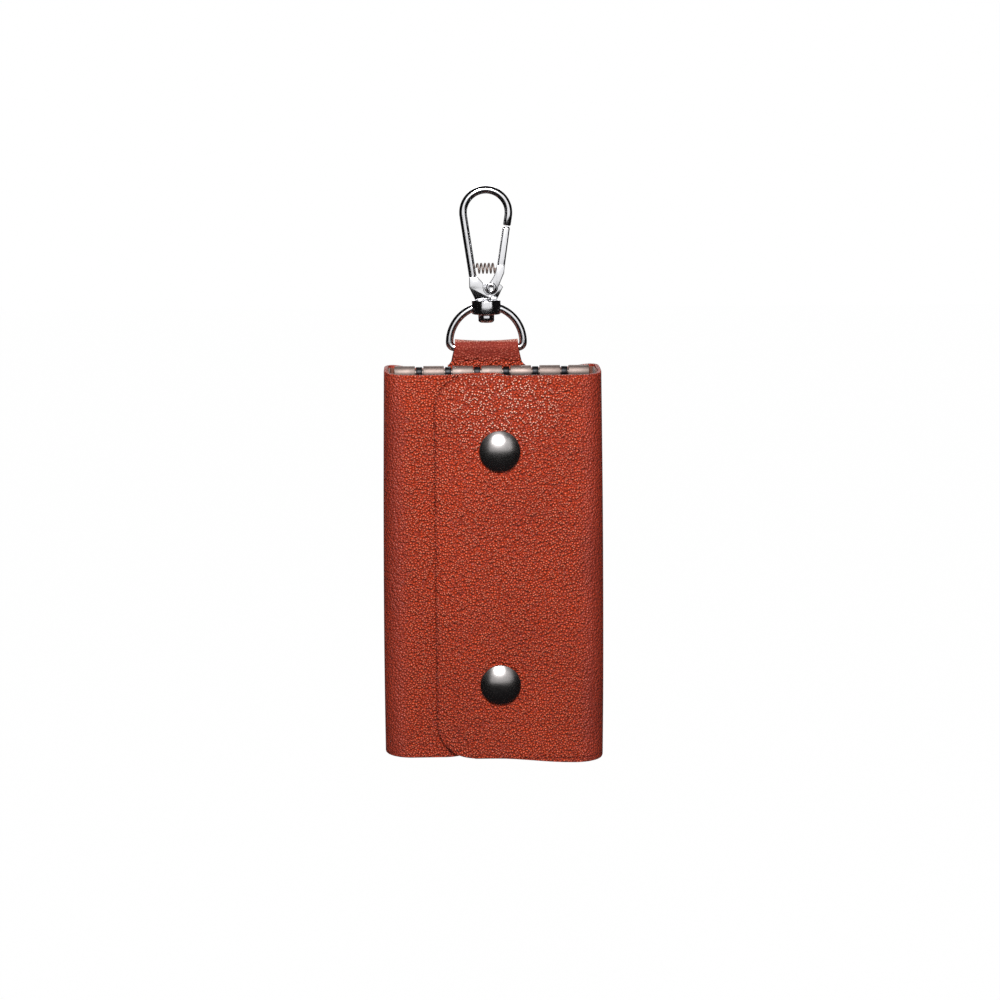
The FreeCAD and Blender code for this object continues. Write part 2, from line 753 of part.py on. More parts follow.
def build_left_flap(name, outset, thickness):
    """One layer of the lower flap, which steps inward to leave room for the snaps."""
    body = new_body(name)
    center = (case_left + d.bend_radius, lower_flap_y + d.bend_radius)
    outer = d.bend_radius - outset
    inner = outer - thickness
    angle = d.fold_angle * 5
    step_start = flap_edge + d.joggle_start
    step_end = snap_x - d.joggle_margin
    near = lower_flap_y + outset
    deep = tongue_y + outset
    outline = Outline(bend_point(center, outer, angle, d.fold_slit_angle)).arc((center[0], near), outer)
    outline.line((step_start, near), (step_end, deep), (tongue_edge, deep))
    outline.line((tongue_edge, deep + thickness), (step_end, deep + thickness))
    outline.line((step_start, near + thickness), (center[0], near + thickness))
    outline.arc(bend_point(center, inner, angle, d.fold_slit_angle), inner, left=False).close()
    pad(body, "XY_Plane", [outline], bottom_z, rim_z)
    finish_flap(body, tongue_edge, d.tongue_corner, 1, d.post_dia)
    return body


def build_snap_cap(row, height):
    body = new_body(row + "_snap_cap")
    half_cap = d.cap_dia / 2
    crown = d.cap_rise - d.cap_rim
    dome = dome_radius(half_cap, crown)
    half_post = d.cap_post_dia / 2
    post_end = upper_flap_inside + d.socket_floor + d.peen
    outline = Outline((ZERO, front_y - d.cap_rise)).arc((half_cap, front_y - d.cap_rim), dome)
    outline.line((half_cap, front_y), (half_post, front_y), (half_post, post_end), (ZERO, post_end)).close()
    turn(body, "XY_Plane", outline, (snap_x, ZERO, height))
    return body


def build_snap_socket(row, height):
    body = new_body(row + "_snap_socket")
    half = d.socket_dia / 2
    bore = d.socket_bore / 2
    seat = upper_flap_inside
    lip = seat + d.socket_height
    floor = seat + d.socket_floor
    hole = d.cap_post_dia / 2 + d.post_gap
    groove = d.wire_ring_dia / 2 + d.wire_ring_gap
    middle = floor + (d.socket_height - d.socket_floor) / 2
    outline = Outline((hole, seat)).line((half, seat), (half, lip - d.socket_bevel))
    outline.line((half - d.socket_bevel, lip))
    outline.line((bore, lip), (bore, middle + groove), (bore + groove, middle + groove))
    outline.line((bore + groove, middle - groove), (bore, middle - groove))
    outline.line((bore, floor), (hole, floor)).close()
    turn(body, "XY_Plane", outline, (snap_x, ZERO, height))
    return body


def build_snap_spring(row, height):
    """The split ring of wire that sits in the socket's groove."""
    body = new_body(row + "_snap_spring")
    middle = upper_flap_inside + d.socket_floor + (d.socket_height - d.socket_floor) / 2
    radius = d.socket_bore / 2
    wire = d.wire_ring_dia / 2
    outline = Outline((radius + wire, middle)).arc((radius, middle + wire), wire)
    outline.arc((radius - wire, middle), wire).arc((radius, middle - wire), wire)
    outline.edges.append((wire, True))
    turn(body, "XY_Plane", outline, (snap_x, ZERO, height), d.wire_ring_angle)
    return body


def build_snap_stud(row, height):
    body = new_body(row + "_snap_stud")
    bulb = d.stud_bulb_dia / 2
    neck = d.stud_neck_dia / 2
    top = tongue_y - d.stud_rise
    shoulder = top + d.stud_bulb_height
    round_off = d.stud_bulb_height / 2
    half_flange = d.stud_flange_dia / 2
    flange_top = tongue_y - d.stud_flange
    outline = Outline((ZERO, tongue_y)).line((half_flange, tongue_y), (half_flange, flange_top))
    outline.line((neck, flange_top), (neck, shoulder), (bulb, top + round_off))
    outline.arc((bulb - round_off, top), round_off, left=False).line((ZERO, top)).close()
    turn(body, "XY_Plane", outline, (snap_x, ZERO, height))
    return body


def build_snap_post(row, height):
    body = new_body(row + "_snap_post")
    seat = tongue_y + shell
    half_cap = d.post_cap_dia / 2
    crown = d.post_cap_rise - d.post_cap_rim
    dome = dome_radius(half_cap, crown)
    outline = Outline((ZERO, tongue_y)).line((d.post_dia / 2, tongue_y), (d.post_dia / 2, seat))
    outline.line((half_cap, seat), (half_cap, seat + d.post_cap_rim))
    outline.arc((ZERO, seat + d.post_cap_rise), dome).close()
    turn(body, "XY_Plane", outline, (snap_x, ZERO, height))
    return body


def build_key_plate():
    body = new_body("key_plate")
    axle = (axle_y, axle_z)
    bore = knuckle_radius - d.sheet_steel
    low_z = rim_z - d.plate_drop
    tail = d.knuckle_wrap_angle
    outline = Outline((lining_y, low_z)).line((lining_y, axle_z))
    outline.arc((axle_y, axle_z + knuckle_radius), knuckle_radius)
    outline.arc((axle_y - knuckle_radius, axle_z), knuckle_radius)
    outline.arc(polar(axle, knuckle_radius, tail), knuckle_radius).line(polar(axle, bore, tail))
    outline.arc((axle_y - bore, axle_z), bore, left=False).arc((axle_y, axle_z + bore), bore, left=False)
    outline.arc((axle_y + bore, axle_z), bore, left=False).line((axle_y + bore, low_z)).close()
    pad(body, "YZ_Plane", [outline], plate_left, plate_left + plate_width)
    holes = rivet_holes(rivet_places())
    pocket(body, "XZ_Plane", holes, lining_y - d.sheet_steel - d.overrun, lining_y + d.overrun)
    slot_left = hook_place(0) - d.hook_slot / 2
    slot_low = axle_z - d.slot_depth
    slot_near = axle_y - knuckle_radius - d.overrun
    slot = rectangle(slot_near, lining_y + d.overrun, slot_low, rim_z + d.overrun)
    first_slot = pocket(body, "YZ_Plane", [slot], slot_left, slot_left + d.hook_slot)
    repeat(body, first_slot, hook_pitch, HOOKS)
    return body


def build_hook_axle():
    body = new_body("hook_axle")
    pad(body, "YZ_Plane", [((axle_y, axle_z), d.axle_dia / 2)], plate_left, plate_left + plate_width)
    return body


def build_plate_rivets():
    body = new_body("plate_rivets")
    seat = lining_y - d.sheet_steel
    half_head = d.rivet_head_dia / 2
    dome = dome_radius(half_head, d.rivet_head_height)
    outline = Outline((ZERO, seat - d.rivet_head_height)).arc((half_head, seat), dome)
    outline.line((d.rivet_dia / 2, seat), (d.rivet_dia / 2, d.board / 2), (ZERO, d.board / 2)).close()
    for place in rivet_places():
        turn(body, "XY_Plane", outline, (place, ZERO, rivet_z))
    return body


def hook_place(index):
    return d.case_offset + hook_pitch * index - hook_pitch * (HOOKS - 1) / 2


def leaf_root():
    return (hook_back_y - d.hook_limb - d.leaf_stand, axle_z - d.leaf_root_drop)


def build_key_hook(index):
    body = new_body("key_hook_%d" % (index + 1))
    left = hook_place(index) - d.hook_thickness / 2
    right = left + d.hook_thickness
    eye = d.axle_dia / 2 + d.hook_eye_gap
    back = hook_back_y
    outer = hook_throat / 2 + d.hook_limb
    inner = hook_throat / 2
    middle = back - outer
    bend_z = axle_z - d.hook_shank
    tip_z = bend_z + d.hook_tip
    half_limb = d.hook_limb / 2
    outline = Outline((back, bend_z)).line((back, axle_z), (back - d.hook_limb, axle_z))
    outline.line((back - d.hook_limb, bend_z))
    outline.arc((middle, bend_z - inner), inner, left=False)
    outline.arc((middle - inner, bend_z), inner, left=False)
    outline.line((middle - inner, tip_z)).arc((middle - inner - half_limb, tip_z + half_limb), half_limb)
    outline.arc((middle - outer, tip_z), half_limb).line((middle - outer, bend_z))
    outline.arc((middle, bend_z - outer), outer)
    outline.edges.append((outer, True))
    pad(body, "YZ_Plane", [outline], left, right)
    pad(body, "YZ_Plane", [((axle_y, axle_z), eye + d.hook_eye_wall)], left, right)
    pocket(body, "YZ_Plane", [((axle_y, axle_z), eye)], left - d.overrun, right + d.overrun)
    seat = (leaf_root(), d.leaf_root_dia / 2 + d.leaf_root_gap)
    pocket(body, "YZ_Plane", [seat], left - d.overrun, right + d.overrun)
    return body


def build_hook_spring(index):
    """The leaf that closes a key hook: a curled root on the shank and a flat blade to the tip."""
    body = new_body("hook_spring_%d" % (index + 1))
    left = hook_place(index) - d.leaf_width / 2
    right = left + d.leaf_width
    root = leaf_root()
    half_leaf = d.leaf_steel / 2
    throat_front = hook_back_y - d.hook_limb - hook_throat
    end = (throat_front + d.leaf_end_gap + half_leaf, axle_z - d.hook_shank + d.leaf_end_rise)
    blade = Outline((root[0] - half_leaf, root[1])).line((end[0] - half_leaf, end[1]))
    blade.line((end[0] + half_leaf, end[1]), (root[0] + half_leaf, root[1])).close()
    pad(body, "YZ_Plane", [blade], left, right)
    pad(body, "YZ_Plane", [(root, d.leaf_root_dia / 2)], left, right)
    return body


def build_parts():
    parts = [
        build_clasp_hook(),
        build_clasp_gate(),
        build_clasp_rivet(),
        build_clasp_spring(),
        build_swivel_stud(),
        build_d_ring(),
        build_strap_tab(),
        build_back_leather(),
        build_backing_board(),
        build_back_lining(),
        build_spine("left_spine_leather", -1, lower_flap_y, ZERO, d.leather),
        build_spine("left_spine_lining", -1, lower_flap_y, d.leather, d.lining),
        build_spine("right_spine_leather", 1, front_y, ZERO, d.leather),
        build_spine("right_spine_lining", 1, front_y, d.leather, d.lining),
        build_left_flap("left_flap_leather", ZERO, d.leather),
        build_left_flap("left_flap_lining", d.leather, d.lining),
        build_right_flap("right_flap_leather", ZERO, d.leather),
        build_right_flap("right_flap_lining", d.leather, d.lining),
        build_key_plate(),
        build_hook_axle(),
        build_plate_rivets(),
    ]
    for row, height in snap_heights().items():
        parts.append(build_snap_cap(row, height))
        parts.append(build_snap_socket(row, height))
        parts.append(build_snap_spring(row, height))
        parts.append(build_snap_stud(row, height))
        parts.append(build_snap_post(row, height))
    for index in range(HOOKS):
        parts.append(build_key_hook(index))
        parts.append(build_hook_spring(index))
    return parts


def check(parts):
    """Stop before anything is written if a feature failed or a cut took nothing away."""
    for thing in DOCUMENT.Objects:
        if "Invalid" in thing.State or "Error" in thing.State:
            raise RuntimeError("%s: %s" % (thing.Name, thing.State))
        if thing.TypeId == "PartDesign::Pocket" and thing.Shape.Volume >= thing.BaseFeature.Shape.Volume:
            raise RuntimeError("%s cuts nothing" % thing.Name)
    for part in parts:
        if part.Shape.isNull() or not part.Shape.isValid():
            raise RuntimeError("%s has no valid shape" % part.Label)


def main():
    DOCUMENT.recompute()
    parts = build_parts()
    DOCUMENT.recompute()
    check(parts)
    os.makedirs("parts", exist_ok=True)
    for part in parts:
        part.Shape.exportStep("parts/%s.step" % part.Label)
        print("%-22s %2d solid(s) %9.2f mm3" % (part.Label, len(part.Shape.Solids), part.Shape.Volume))


main()
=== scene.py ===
"""A leather key case on its swivel clasp: the looks of every piece, on the bodies that carry them."""
import math

import bpy
from bpy.props import FloatProperty, FloatVectorProperty, IntProperty, PointerProperty
from mathutils import Matrix, Vector, noise


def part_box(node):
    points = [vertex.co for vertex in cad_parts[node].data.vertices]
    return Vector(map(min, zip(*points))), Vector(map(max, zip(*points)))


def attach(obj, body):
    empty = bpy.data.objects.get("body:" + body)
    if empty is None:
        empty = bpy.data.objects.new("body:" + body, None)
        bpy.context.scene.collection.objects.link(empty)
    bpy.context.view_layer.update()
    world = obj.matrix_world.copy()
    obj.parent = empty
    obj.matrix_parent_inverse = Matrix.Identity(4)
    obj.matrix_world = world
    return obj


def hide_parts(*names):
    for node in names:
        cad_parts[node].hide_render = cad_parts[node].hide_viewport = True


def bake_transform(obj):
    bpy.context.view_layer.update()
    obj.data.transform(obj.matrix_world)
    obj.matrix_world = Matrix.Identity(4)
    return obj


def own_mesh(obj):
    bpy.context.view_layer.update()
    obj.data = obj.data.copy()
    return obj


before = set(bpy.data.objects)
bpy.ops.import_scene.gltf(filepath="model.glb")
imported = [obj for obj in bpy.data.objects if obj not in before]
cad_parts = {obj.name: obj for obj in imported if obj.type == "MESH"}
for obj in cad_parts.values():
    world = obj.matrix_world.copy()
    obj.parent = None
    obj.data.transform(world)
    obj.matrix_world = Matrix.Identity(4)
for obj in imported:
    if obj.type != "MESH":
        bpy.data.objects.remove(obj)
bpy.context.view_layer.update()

bl_info = {
    "name": "Key Case",
    "version": (1, 0, 0),
    "blender": (4, 5, 0),
    "location": "View3D > Sidebar > Key Case",
    "description": "Models and finishes a leather key case with a swivel clasp",
    "category": "Add Mesh",
}

MM = 0.001
SIDES = {"left": -1, "right": 1}
ROWS = ("upper", "lower")
FINISHES = {
    "leather": "pebbled_leather",
    "lining": "split_lining",
    "nickel": "polished_nickel",
    "steel": "plated_steel",
    "gunmetal": "gunmetal_plate",
    "black_steel": "black_oxide",
}
ARC_STEPS = 14
WELD = 0.004 * MM
SMOOTH_ANGLE = math.radians(35)
HOOK_NUMBERS = range(1, 7)
EDGE_STEPS = 3
SEAM_NEAR = 0.8 * MM
SEAM_REACH = 3 * MM
REST_PLACE = "rest_place"

# How the leather settles from rim to foot: half turns of the swell, the share of the height over
# which the waves begin, and the power by which the sag grows.
SWELL_TURN = 0.59
WAVE_START = 0.2
SAG_POWER = 4

# Turned heads, as shares of their radius and rise. A cap's lip has a share of the cap's rise, and a
# shank has a share of the head's radius.
RIVET_HEAD = ((1, 0), (1, 0.35), (0.92, 0.7), (0.74, 1), (0.56, 1), (0.44, 0.55), (0.2, 0.45))
STUD_HEAD = ((0.75, 0), (0.92, 0.12), (1, 0.3), (1, 1))
CAP_LIP = ((0.93, 0), (1, 0.5), (0.985, 1))
LIP_RISE = 0.22
SHANK = {"rivet": 0.56, "stud": 0.6, "cap": 0.3}

# Rounded edges, as shares of the thickness or radius beside them.
ROUND = {"gate": 0.55, "lever": 1.2, "rivet": 0.12, "stud": 0.08, "plate": 0.14, "hook": 0.2, "eye": 0.12}

# Shares by which the base's front laps into its back and the gate's lever narrows at the top.
BASE_LAP = 1.2
LEVER_TAPER = 0.9

# Heights of the stud's head and the ring's boss, how far a key hook's shank lies behind the axle, and
# the steps in each turn of the coil.
STUD_RISE = 2.4 * MM
BOSS_HEIGHT = 4.4 * MM
HOOK_SETBACK = 0.6 * MM
COIL_STEPS = 28

# Marks of the finishes, counted per metre, and how deep they are.
PEBBLES = 1350.0
RIPPLES = 900.0
LUMPS = 700.0
DYE_DRIFT = 45.0
RIPPLE_REACH = 0.4 * MM
PEBBLE_DEPTH = 1.1 * MM
NAP = 3500.0
NAP_DRIFT = 120.0
NAP_DEPTH = 0.2 * MM
SMUDGES = 220.0
HAIRLINE_STRETCH = (1.0, 1.0, 14.0)
HAIRLINE_DEPTH = 0.1 * MM

# Where the leather is pressed above the rim (darker there as painted shade), bent at its sides (darker
# there as painted shade), lit by painted glints over the upper snap, lit by a painted highlight at the
# tab's fold, and darkened by a painted shadow line along the upper flap's cut edge.
PRESSED_RUN = 3 * MM
BENDS = (0.74, 0.94)
# Centre and reach of the painted glints over the upper snap.
GLINT_CENTRE = (3 * MM, -9 * MM)
GLINT_REACH = (5 * MM, 26 * MM)
# Heights of the painted highlight along the tab's fold over the ring's bar.
FOLD_HIGHLIGHT = (-0.45 * MM, -0.1 * MM)
# Width of the painted shadow line along the upper flap's cut edge, and the depths where it shows.
EDGE_SHADOW = (0.12 * MM, 0.4 * MM)
EDGE_DEPTH = (-1 * MM, 3 * MM)

# The limits between which a mark shows, and how strong it is.
CREASE_WIDTH = 0.2
PEBBLE_TOP = (0.08, 0.42)
PRESSED_GRAIN = 0.25
# Painted glints on the pebble tops: their share from foot to rim, and their strength at the spot over the
# upper snap.
GLINT_BY_HEIGHT = (0.10, 0.26)
GLINT_STRENGTH = 1.2
DRIFT_LIMITS = (0.3, 0.7)
SMUDGE_LIMITS = (0.4, 0.75)
LINING_DARK = 0.55
METAL_WORN = 0.86
HAIRLINE_ROUGH = 0.5
SMUDGE_ROUGH = 0.6

# By how much each mark raises, darkens, roughens or tints the leather.
RAISE = {"lump": 0.5, "crease": 0.12, "bend": 0.6, "line": 0.2}
# Darkening at the bends and above the rim is painted shade: the sides darker where the case turns away from
# the light, and the tab darker as if less lit. Darkening by drift is dye.
DARKEN = {"drift": 0.2, "pressed": 0.95, "bend": 0.5}
ROUGHEN = {"plain": 0.26, "crease": 0.25, "drift": 0.08, "pressed": 0.45, "bend": 0.15}
# Tints: pebble tops rubbed and lit by painted glints, painted glints over the upper snap, a painted
# highlight on the tab's fold, a painted shadow line on the flap's edge, and darker dye with painted shade
# in the creases.
TINT = {"top": 0.5, "bend": 0.85, "polish": 0.75, "fold": 0.25, "line": 0.45, "crease": 0.85}

# Roughness of each metal, and its hairlines per metre.
METALS = {
    "nickel": (0.09, 900.0),
    "steel": (0.4, 1600.0),
    "gunmetal": (0.17, 700.0),
    "black_steel": (0.3, 1600.0),
}

# The stage, in metres and degrees. A lamp is its place, width, height and power.
# The camera turns by yaw, pitch and roll.
LAMPS = {
    "key_light": ((-0.02, -0.34, 0.14), 0.14, 0.10, 2.95),
    "fill_light": ((0.35, -0.45, 0.10), 0.10, 0.40, 0.15),
    "rim_light": ((0.0, 0.60, 0.30), 0.40, 0.40, 1.6),
}
WORLD_LIGHT = 0.16
FLOOR_SIZE = 6
FLOOR_DROP = 150 * MM
FLOOR_GLOW = 0.995
CARD_DROP = 140 * MM
CARD_TOP = 0.75
CARD_FRONT = -1.1
CARD_DEPTH = 2.4
CARD_HALF = 0.75
CARD_TONE = (0.012, 0.011, 0.012)
SENSOR = 36
CAMERA_ZOOM = 2.026
CAMERA_TURN = (1.868, 10.907, -0.226)
CAMERA_PLACE = (-0.01624, -0.62045, 0.02494)

# Places read from the parts of model.glb.
CASE_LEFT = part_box("left_spine_leather")[0].x
CASE_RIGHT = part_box("right_spine_leather")[1].x
CASE_MIDDLE = (CASE_LEFT + CASE_RIGHT) / 2
HALF_CASE = (CASE_RIGHT - CASE_LEFT) / 2
FOOT_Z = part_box("back_leather")[0].z
RIM_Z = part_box("back_leather")[1].z
CASE_HEIGHT = RIM_Z - FOOT_Z
BACK_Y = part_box("back_leather")[1].y
LINING_BACK_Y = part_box("back_lining")[1].y
FRONT_Y = {"left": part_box("left_flap_leather")[0].y, "right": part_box("right_flap_leather")[0].y}
FREE_EDGE = {"left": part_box("left_flap_leather")[1].x, "right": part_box("right_flap_leather")[0].x}
TONGUE_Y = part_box("upper_snap_stud")[1].y
AXLE_LOW, AXLE_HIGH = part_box("hook_axle")
RING_LOW, RING_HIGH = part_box("d_ring")
STRAP_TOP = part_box("strap_tab")[1].z
CAPS = {row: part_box(row + "_snap_cap") for row in ROWS}


def length(name, description, millimetres):
    return FloatProperty(
        name=name, description=description, default=millimetres * MM, unit="LENGTH", precision=5
    )


def angle(name, description, degrees):
    return FloatProperty(
        name=name, description=description, default=math.radians(degrees), subtype="ANGLE"
    )


def colour(name, description, red, green, blue):
    return FloatVectorProperty(
        name=name, description=description, default=(red, green, blue), subtype="COLOR", min=0, max=1
    )


class KeyCaseLeatherSizes(bpy.types.PropertyGroup):
    """Sizes of the leather case and its tab."""

    leather: length("Leather", "Thickness of the outer leather", 1.2)
    lining: length("Lining", "Thickness of the lining", 0.5)
    lining_inset: length("Lining inset", "How far the lining stops short of the edges", 0.7)
    front_bend: length("Front bend", "Outer radius of the bends in front", 8.0)
    back_bend: length("Back bend", "Outer radius of the bends at the back", 5.0)
    corner_fill: length("Corner fill", "Radius of the lining in the back corners", 1.7)
    flap_corner: length("Flap corner", "Radius of the upper flap's free corners", 11.0)
    tongue_corner: length("Tongue corner", "Radius of the lower flap's free corners", 8.0)
    step_start: length(
        "Step start", "Where the lower flap starts to step in, past the upper flap's edge", 2.4
    )
    step_run: length("Step run", "Length of the lower flap's step", 9.8)
    edge_round: length("Edge round", "Rounding of the leather's cut edges", 0.38)
    row_height: length("Row height", "Height of one row of faces", 3.0)
    rim_swell: length("Rim swell", "How far the sides stand out at the rim", 0.35)
    foot_swell: length("Foot swell", "How far the keys push the sides out near the foot", 1.15)
    swell_inset: length("Swell inset", "How far in from the sides the swell fades out", 16.0)
    skive: length("Skive", "How much the upper flap's free edge is thinned and pressed down", 0.75)
    skive_run: length("Skive run", "Width of the thinned edge", 7.0)
    foot_sag: length("Foot sag", "How far the upper flap's foot hangs lower at its fold", 1.5)
    dimple: length("Dimple", "How deep the caps press into the leather", 0.35)
    dimple_reach: length("Dimple reach", "How far from a cap's middle the dimple fades out", 11.0)
    wave: length("Wave", "Height of the leather's slow waves", 0.3)
    wave_length: length("Wave length", "Length of the leather's slow waves", 30.0)
    rim_dip: length("Rim dip", "How far the back's rim dips behind the knuckles", 1.3)
    front_dip: length("Front dip", "How far the flaps' rim lies below the knuckles' tops", 0.8)
    rim_dip_run: length("Rim dip run", "How far down and in from the sides the dip fades out", 12.0)
    strap_layer: length("Strap layer", "Thickness of one layer of the tab", 0.7)
    strap_gap: length("Strap gap", "Gap between the strap's two tails", 0.03)
    strap_slack: length("Strap slack", "Room between the tab's loop and the ring's bar", 0.15)
    strap_width: length("Strap width", "Width of the tab on the ring's bar", 19.4)
    strap_neck: length("Strap neck", "How far below the ring the tab keeps that width", 1.4)
    strap_foot: length("Strap foot", "Width of the tab at the rim", 24.4)
    strap_sink: length("Strap sink", "How far the tab's tails run into the back panel", 8.0)
    strap_dish: length("Strap dish", "How far the tab's top dips in the middle", 0.5)
    strap_lean: angle("Strap lean", "How far the tab's layers lean out from the rim to the bar", 16)
    strap_curve: length("Strap curve", "Radius where the tab's layers leave the rim", 4.0)


class KeyCaseMetalSizes(bpy.types.PropertyGroup):
    """Sizes of the clasp, the ring, the snaps and the key holder."""

    clasp_wire: length("Clasp wire", "Diameter of the clasp's wire", 2.4)
    loop_radius: length("Loop radius", "Radius of the clasp's loop at the middle of its wire", 6.9)
    arm_lean: angle("Arm lean", "Lean of the clasp's arms", 8.5)
    foot_rise: length("Foot rise", "Height of the arm's foot above the base's underside", 6.0)
    nose: length("Nose", "Straight end of the loop above the gate", 3.0)
    base_width: length("Base width", "Width of the clasp's base at its foot", 6.8)
    shoulder_width: length("Shoulder width", "Width of the clasp's base at its shoulders", 10.4)
    shoulder_rise: length("Shoulder rise", "Height of the left shoulder", 7.0)
    base_rise: length("Base rise", "Height of the base behind the gate", 5.0)
    pivot_offset: length("Pivot offset", "Place of the gate's rivet, right of the middle", 1.5)
    pivot_rise: length("Pivot rise", "Height of the gate's rivet above the base's underside", 3.7)
    eye_radius: length("Eye radius", "Radius of the gate's eye", 2.1)
    gate_gap: length("Gate gap", "Room between the gate and the hook", 0.3)
    gate_lap_gap: length("Gate lap gap", "Room between the gate's eye and the base", 0.15)
    gate_width: length("Gate width", "Width of the gate's bar", 2.4)
    knee_rise: length("Knee rise", "Height of the gate's knee above its rivet", 4.4)
    gate_flare: length("Gate flare", "Radius of the curve from the gate's eye to its bar", 9.0)
    coil_rise: length("Coil rise", "Height of the coil spring above the base's underside", 9.4)
    coil_dia: length("Coil diameter", "Outer diameter of the coil spring", 3.4)
    coil_wire: length("Coil wire", "Diameter of the spring's wire", 0.5)
    coil_turns: IntProperty(name="Coil turns", description="Turns of the coil spring", default=5, min=2)
    ring_wire: length("Ring wire", "Diameter of the ring's wire", 2.4)
    ring_corner: length("Ring corner", "Radius of the ring's corners at its bar", 1.5)
    boss_bore: length("Boss bore", "Bore of the ring's boss", 3.16)
    boss_round: length("Boss round", "Rounding of the boss", 0.45)
    sheet: length("Sheet steel", "Thickness of the key plate", 0.9)
    knuckle_wrap: angle("Knuckle wrap", "How far the plate wraps round the axle", 285)
    knuckle_radius: length("Knuckle radius", "Outer radius of the rolled knuckles", 2.0)
    hook_slot: length("Hook slot", "Width of the slots for the hooks", 2.6)
    slot_depth: length("Slot depth", "Depth of the slots below the axle", 2.8)
    hook_limb: length("Hook limb", "Thickness of a hook's limb", 1.3)
    hook_tip: length("Hook tip", "Height of a hook's tip above its bend", 2.0)
    hook_eye: length("Hook eye", "Outer radius of a hook's eye", 1.70)
    hook_bore: length("Hook bore", "Inner radius of a hook's eye", 1.08)


class KeyCaseColours(bpy.types.PropertyGroup):
    """Colours of the finishes."""

    leather: colour("Leather", "Dyed face of the leather", 0.46, 0.045, 0.012)
    # Pebble tops, lighter partly from rubbing and partly as painted glints.
    leather_tip_and_glint: colour("Leather tip", "Rubbed tops of some pebbles, lit too by painted glints", 0.82, 0.20, 0.10)
    # Pale colour of the painted glints over the upper snap and of the painted highlight on the tab's fold.
    leather_painted_glint: colour(
        "Leather glint", "Painted glints on the pebble tops over the upper snap, and the painted highlight on the tab's fold", 0.90, 0.62, 0.50
    )
    # Valley colour: darker dye between the pebbles, and also the colour of the painted shade in the
    # creases, at the sides, on the tab and along the flap's edge.
    leather_valley_and_shade: colour("Leather valley", "Darker dye between the pebbles, and painted shade", 0.12, 0.008, 0.003)
    lining: colour("Lining", "Split leather lining", 0.16, 0.050, 0.030)
    nickel: colour("Nickel", "Polished nickel plate", 0.78, 0.78, 0.80)
    # Part plated steel tone and part painted reflection: the warm brown cast stands in for the red leather
    # mirrored in the knuckles.
    steel: colour("Steel", "Plated sheet steel", 0.26, 0.205, 0.185)
    gunmetal: colour("Gunmetal", "Polished dark plate", 0.34, 0.32, 0.315)
    black_steel: colour("Black steel", "Blackened steel of the key hooks", 0.022, 0.022, 0.024)
    backdrop: colour("Backdrop", "Floor and background", 0.92, 0.92, 0.92)


def heading_vector(degrees):
    return Matrix.Rotation(math.radians(degrees), 2) @ Vector((1, 0))


class Pen:
    """Draws a closed outline in one plane by extruding a point, with arcs made by spin."""

    def __init__(self, name, place, axis, start, hand=1):
        self.place = place
        self.axis = axis
        self.hand = hand
        self.at = Vector(start)
        self.piece = add_new(name, bpy.ops.mesh.primitive_plane_add, size=MM, location=place(*start))
        open_edit()
        bpy.ops.mesh.merge(type="CENTER")

    def to(self, *points):
        for point in points:
            step = self.place(*point) - self.place(*self.at)
            bpy.ops.mesh.extrude_vertices_move(TRANSFORM_OT_translate={"value": step})
            self.at = Vector(point)
        return self

    def arc(self, center, degrees, steps=ARC_STEPS):
        """Turn about a centre, counter-clockwise where degrees is positive."""
        turn = math.radians(degrees)
        bpy.ops.mesh.spin(
            steps=steps, angle=-turn * self.hand, center=self.place(*center), axis=self.axis
        )
        self.at = Vector(center) + Matrix.Rotation(turn, 2) @ (self.at - Vector(center))
        return self

    def arc_to(self, point, radius):
        """Turn to a point, counter-clockwise where the radius is positive."""
        half = (Vector(point) - self.at) / 2
        left = Vector((-half.y, half.x)).normalized() * math.copysign(1, radius)
        center = self.at + half + left * math.sqrt(radius ** 2 - half.length_squared)
        turn = 2 * math.asin(half.length / radius)
        return self.arc(center, math.degrees(turn))

    def strip(self, heading, runs, thickness):
        """Outline a sheet edge on: out along its runs, and back at its thickness to the right.

        A run is (length, 0) where it is straight, and (radius, degrees) where it turns.
        """
        back = []
        for size, degrees in runs:
            ahead = heading_vector(heading)
            if degrees:
                center = self.at + Vector((-ahead.y, ahead.x)) * math.copysign(size, degrees)
                self.arc(center, degrees)
                heading += degrees
                back.append((center, -degrees))
            else:
                self.to(self.at + ahead * size)
                back.append((-ahead * size, 0))
        ahead = heading_vector(heading)
        self.to(self.at + Vector((ahead.y, -ahead.x)) * thickness)
        for way, degrees in reversed(back):
            if degrees:
                self.arc(way, degrees)
            else:
                self.to(self.at + way)
        return self

    def solid(self, depth):
        """Fill the outline and extrude it into a closed solid."""
        bpy.ops.mesh.select_all(action="SELECT")
        bpy.ops.mesh.remove_doubles(threshold=WELD)
        bpy.ops.mesh.edge_face_add()
        bpy.ops.mesh.extrude_region_move(TRANSFORM_OT_translate={"value": depth})
        close_edit()
        return self.piece


def across_plane(side, level):
    """The level plane, with its first axis from the case's middle out to one side."""
    def place(out, y):
        return Vector((CASE_MIDDLE + side * out, y, level))
    return place, (0, 0, 1)


def side_plane(x):
    def place(y, z):
        return Vector((x, y, z))
    return place, (1, 0, 0)


def front_plane(y):
    def place(x, z):
        return Vector((x, y, z))
    return place, (0, -1, 0)


def select_only(piece):
    bpy.ops.object.select_all(action="DESELECT")
    piece.select_set(True)
    bpy.context.view_layer.objects.active = piece


def add_new(name, primitive, **settings):
    """Add a primitive by itself, with its place in its mesh."""
    bpy.ops.object.select_all(action="DESELECT")
    primitive(**settings)
    piece = bpy.context.object
    piece.name = name
    bpy.ops.object.transform_apply()
    return piece


def open_edit():
    bpy.ops.object.mode_set(mode="EDIT")
    bpy.ops.mesh.select_all(action="SELECT")


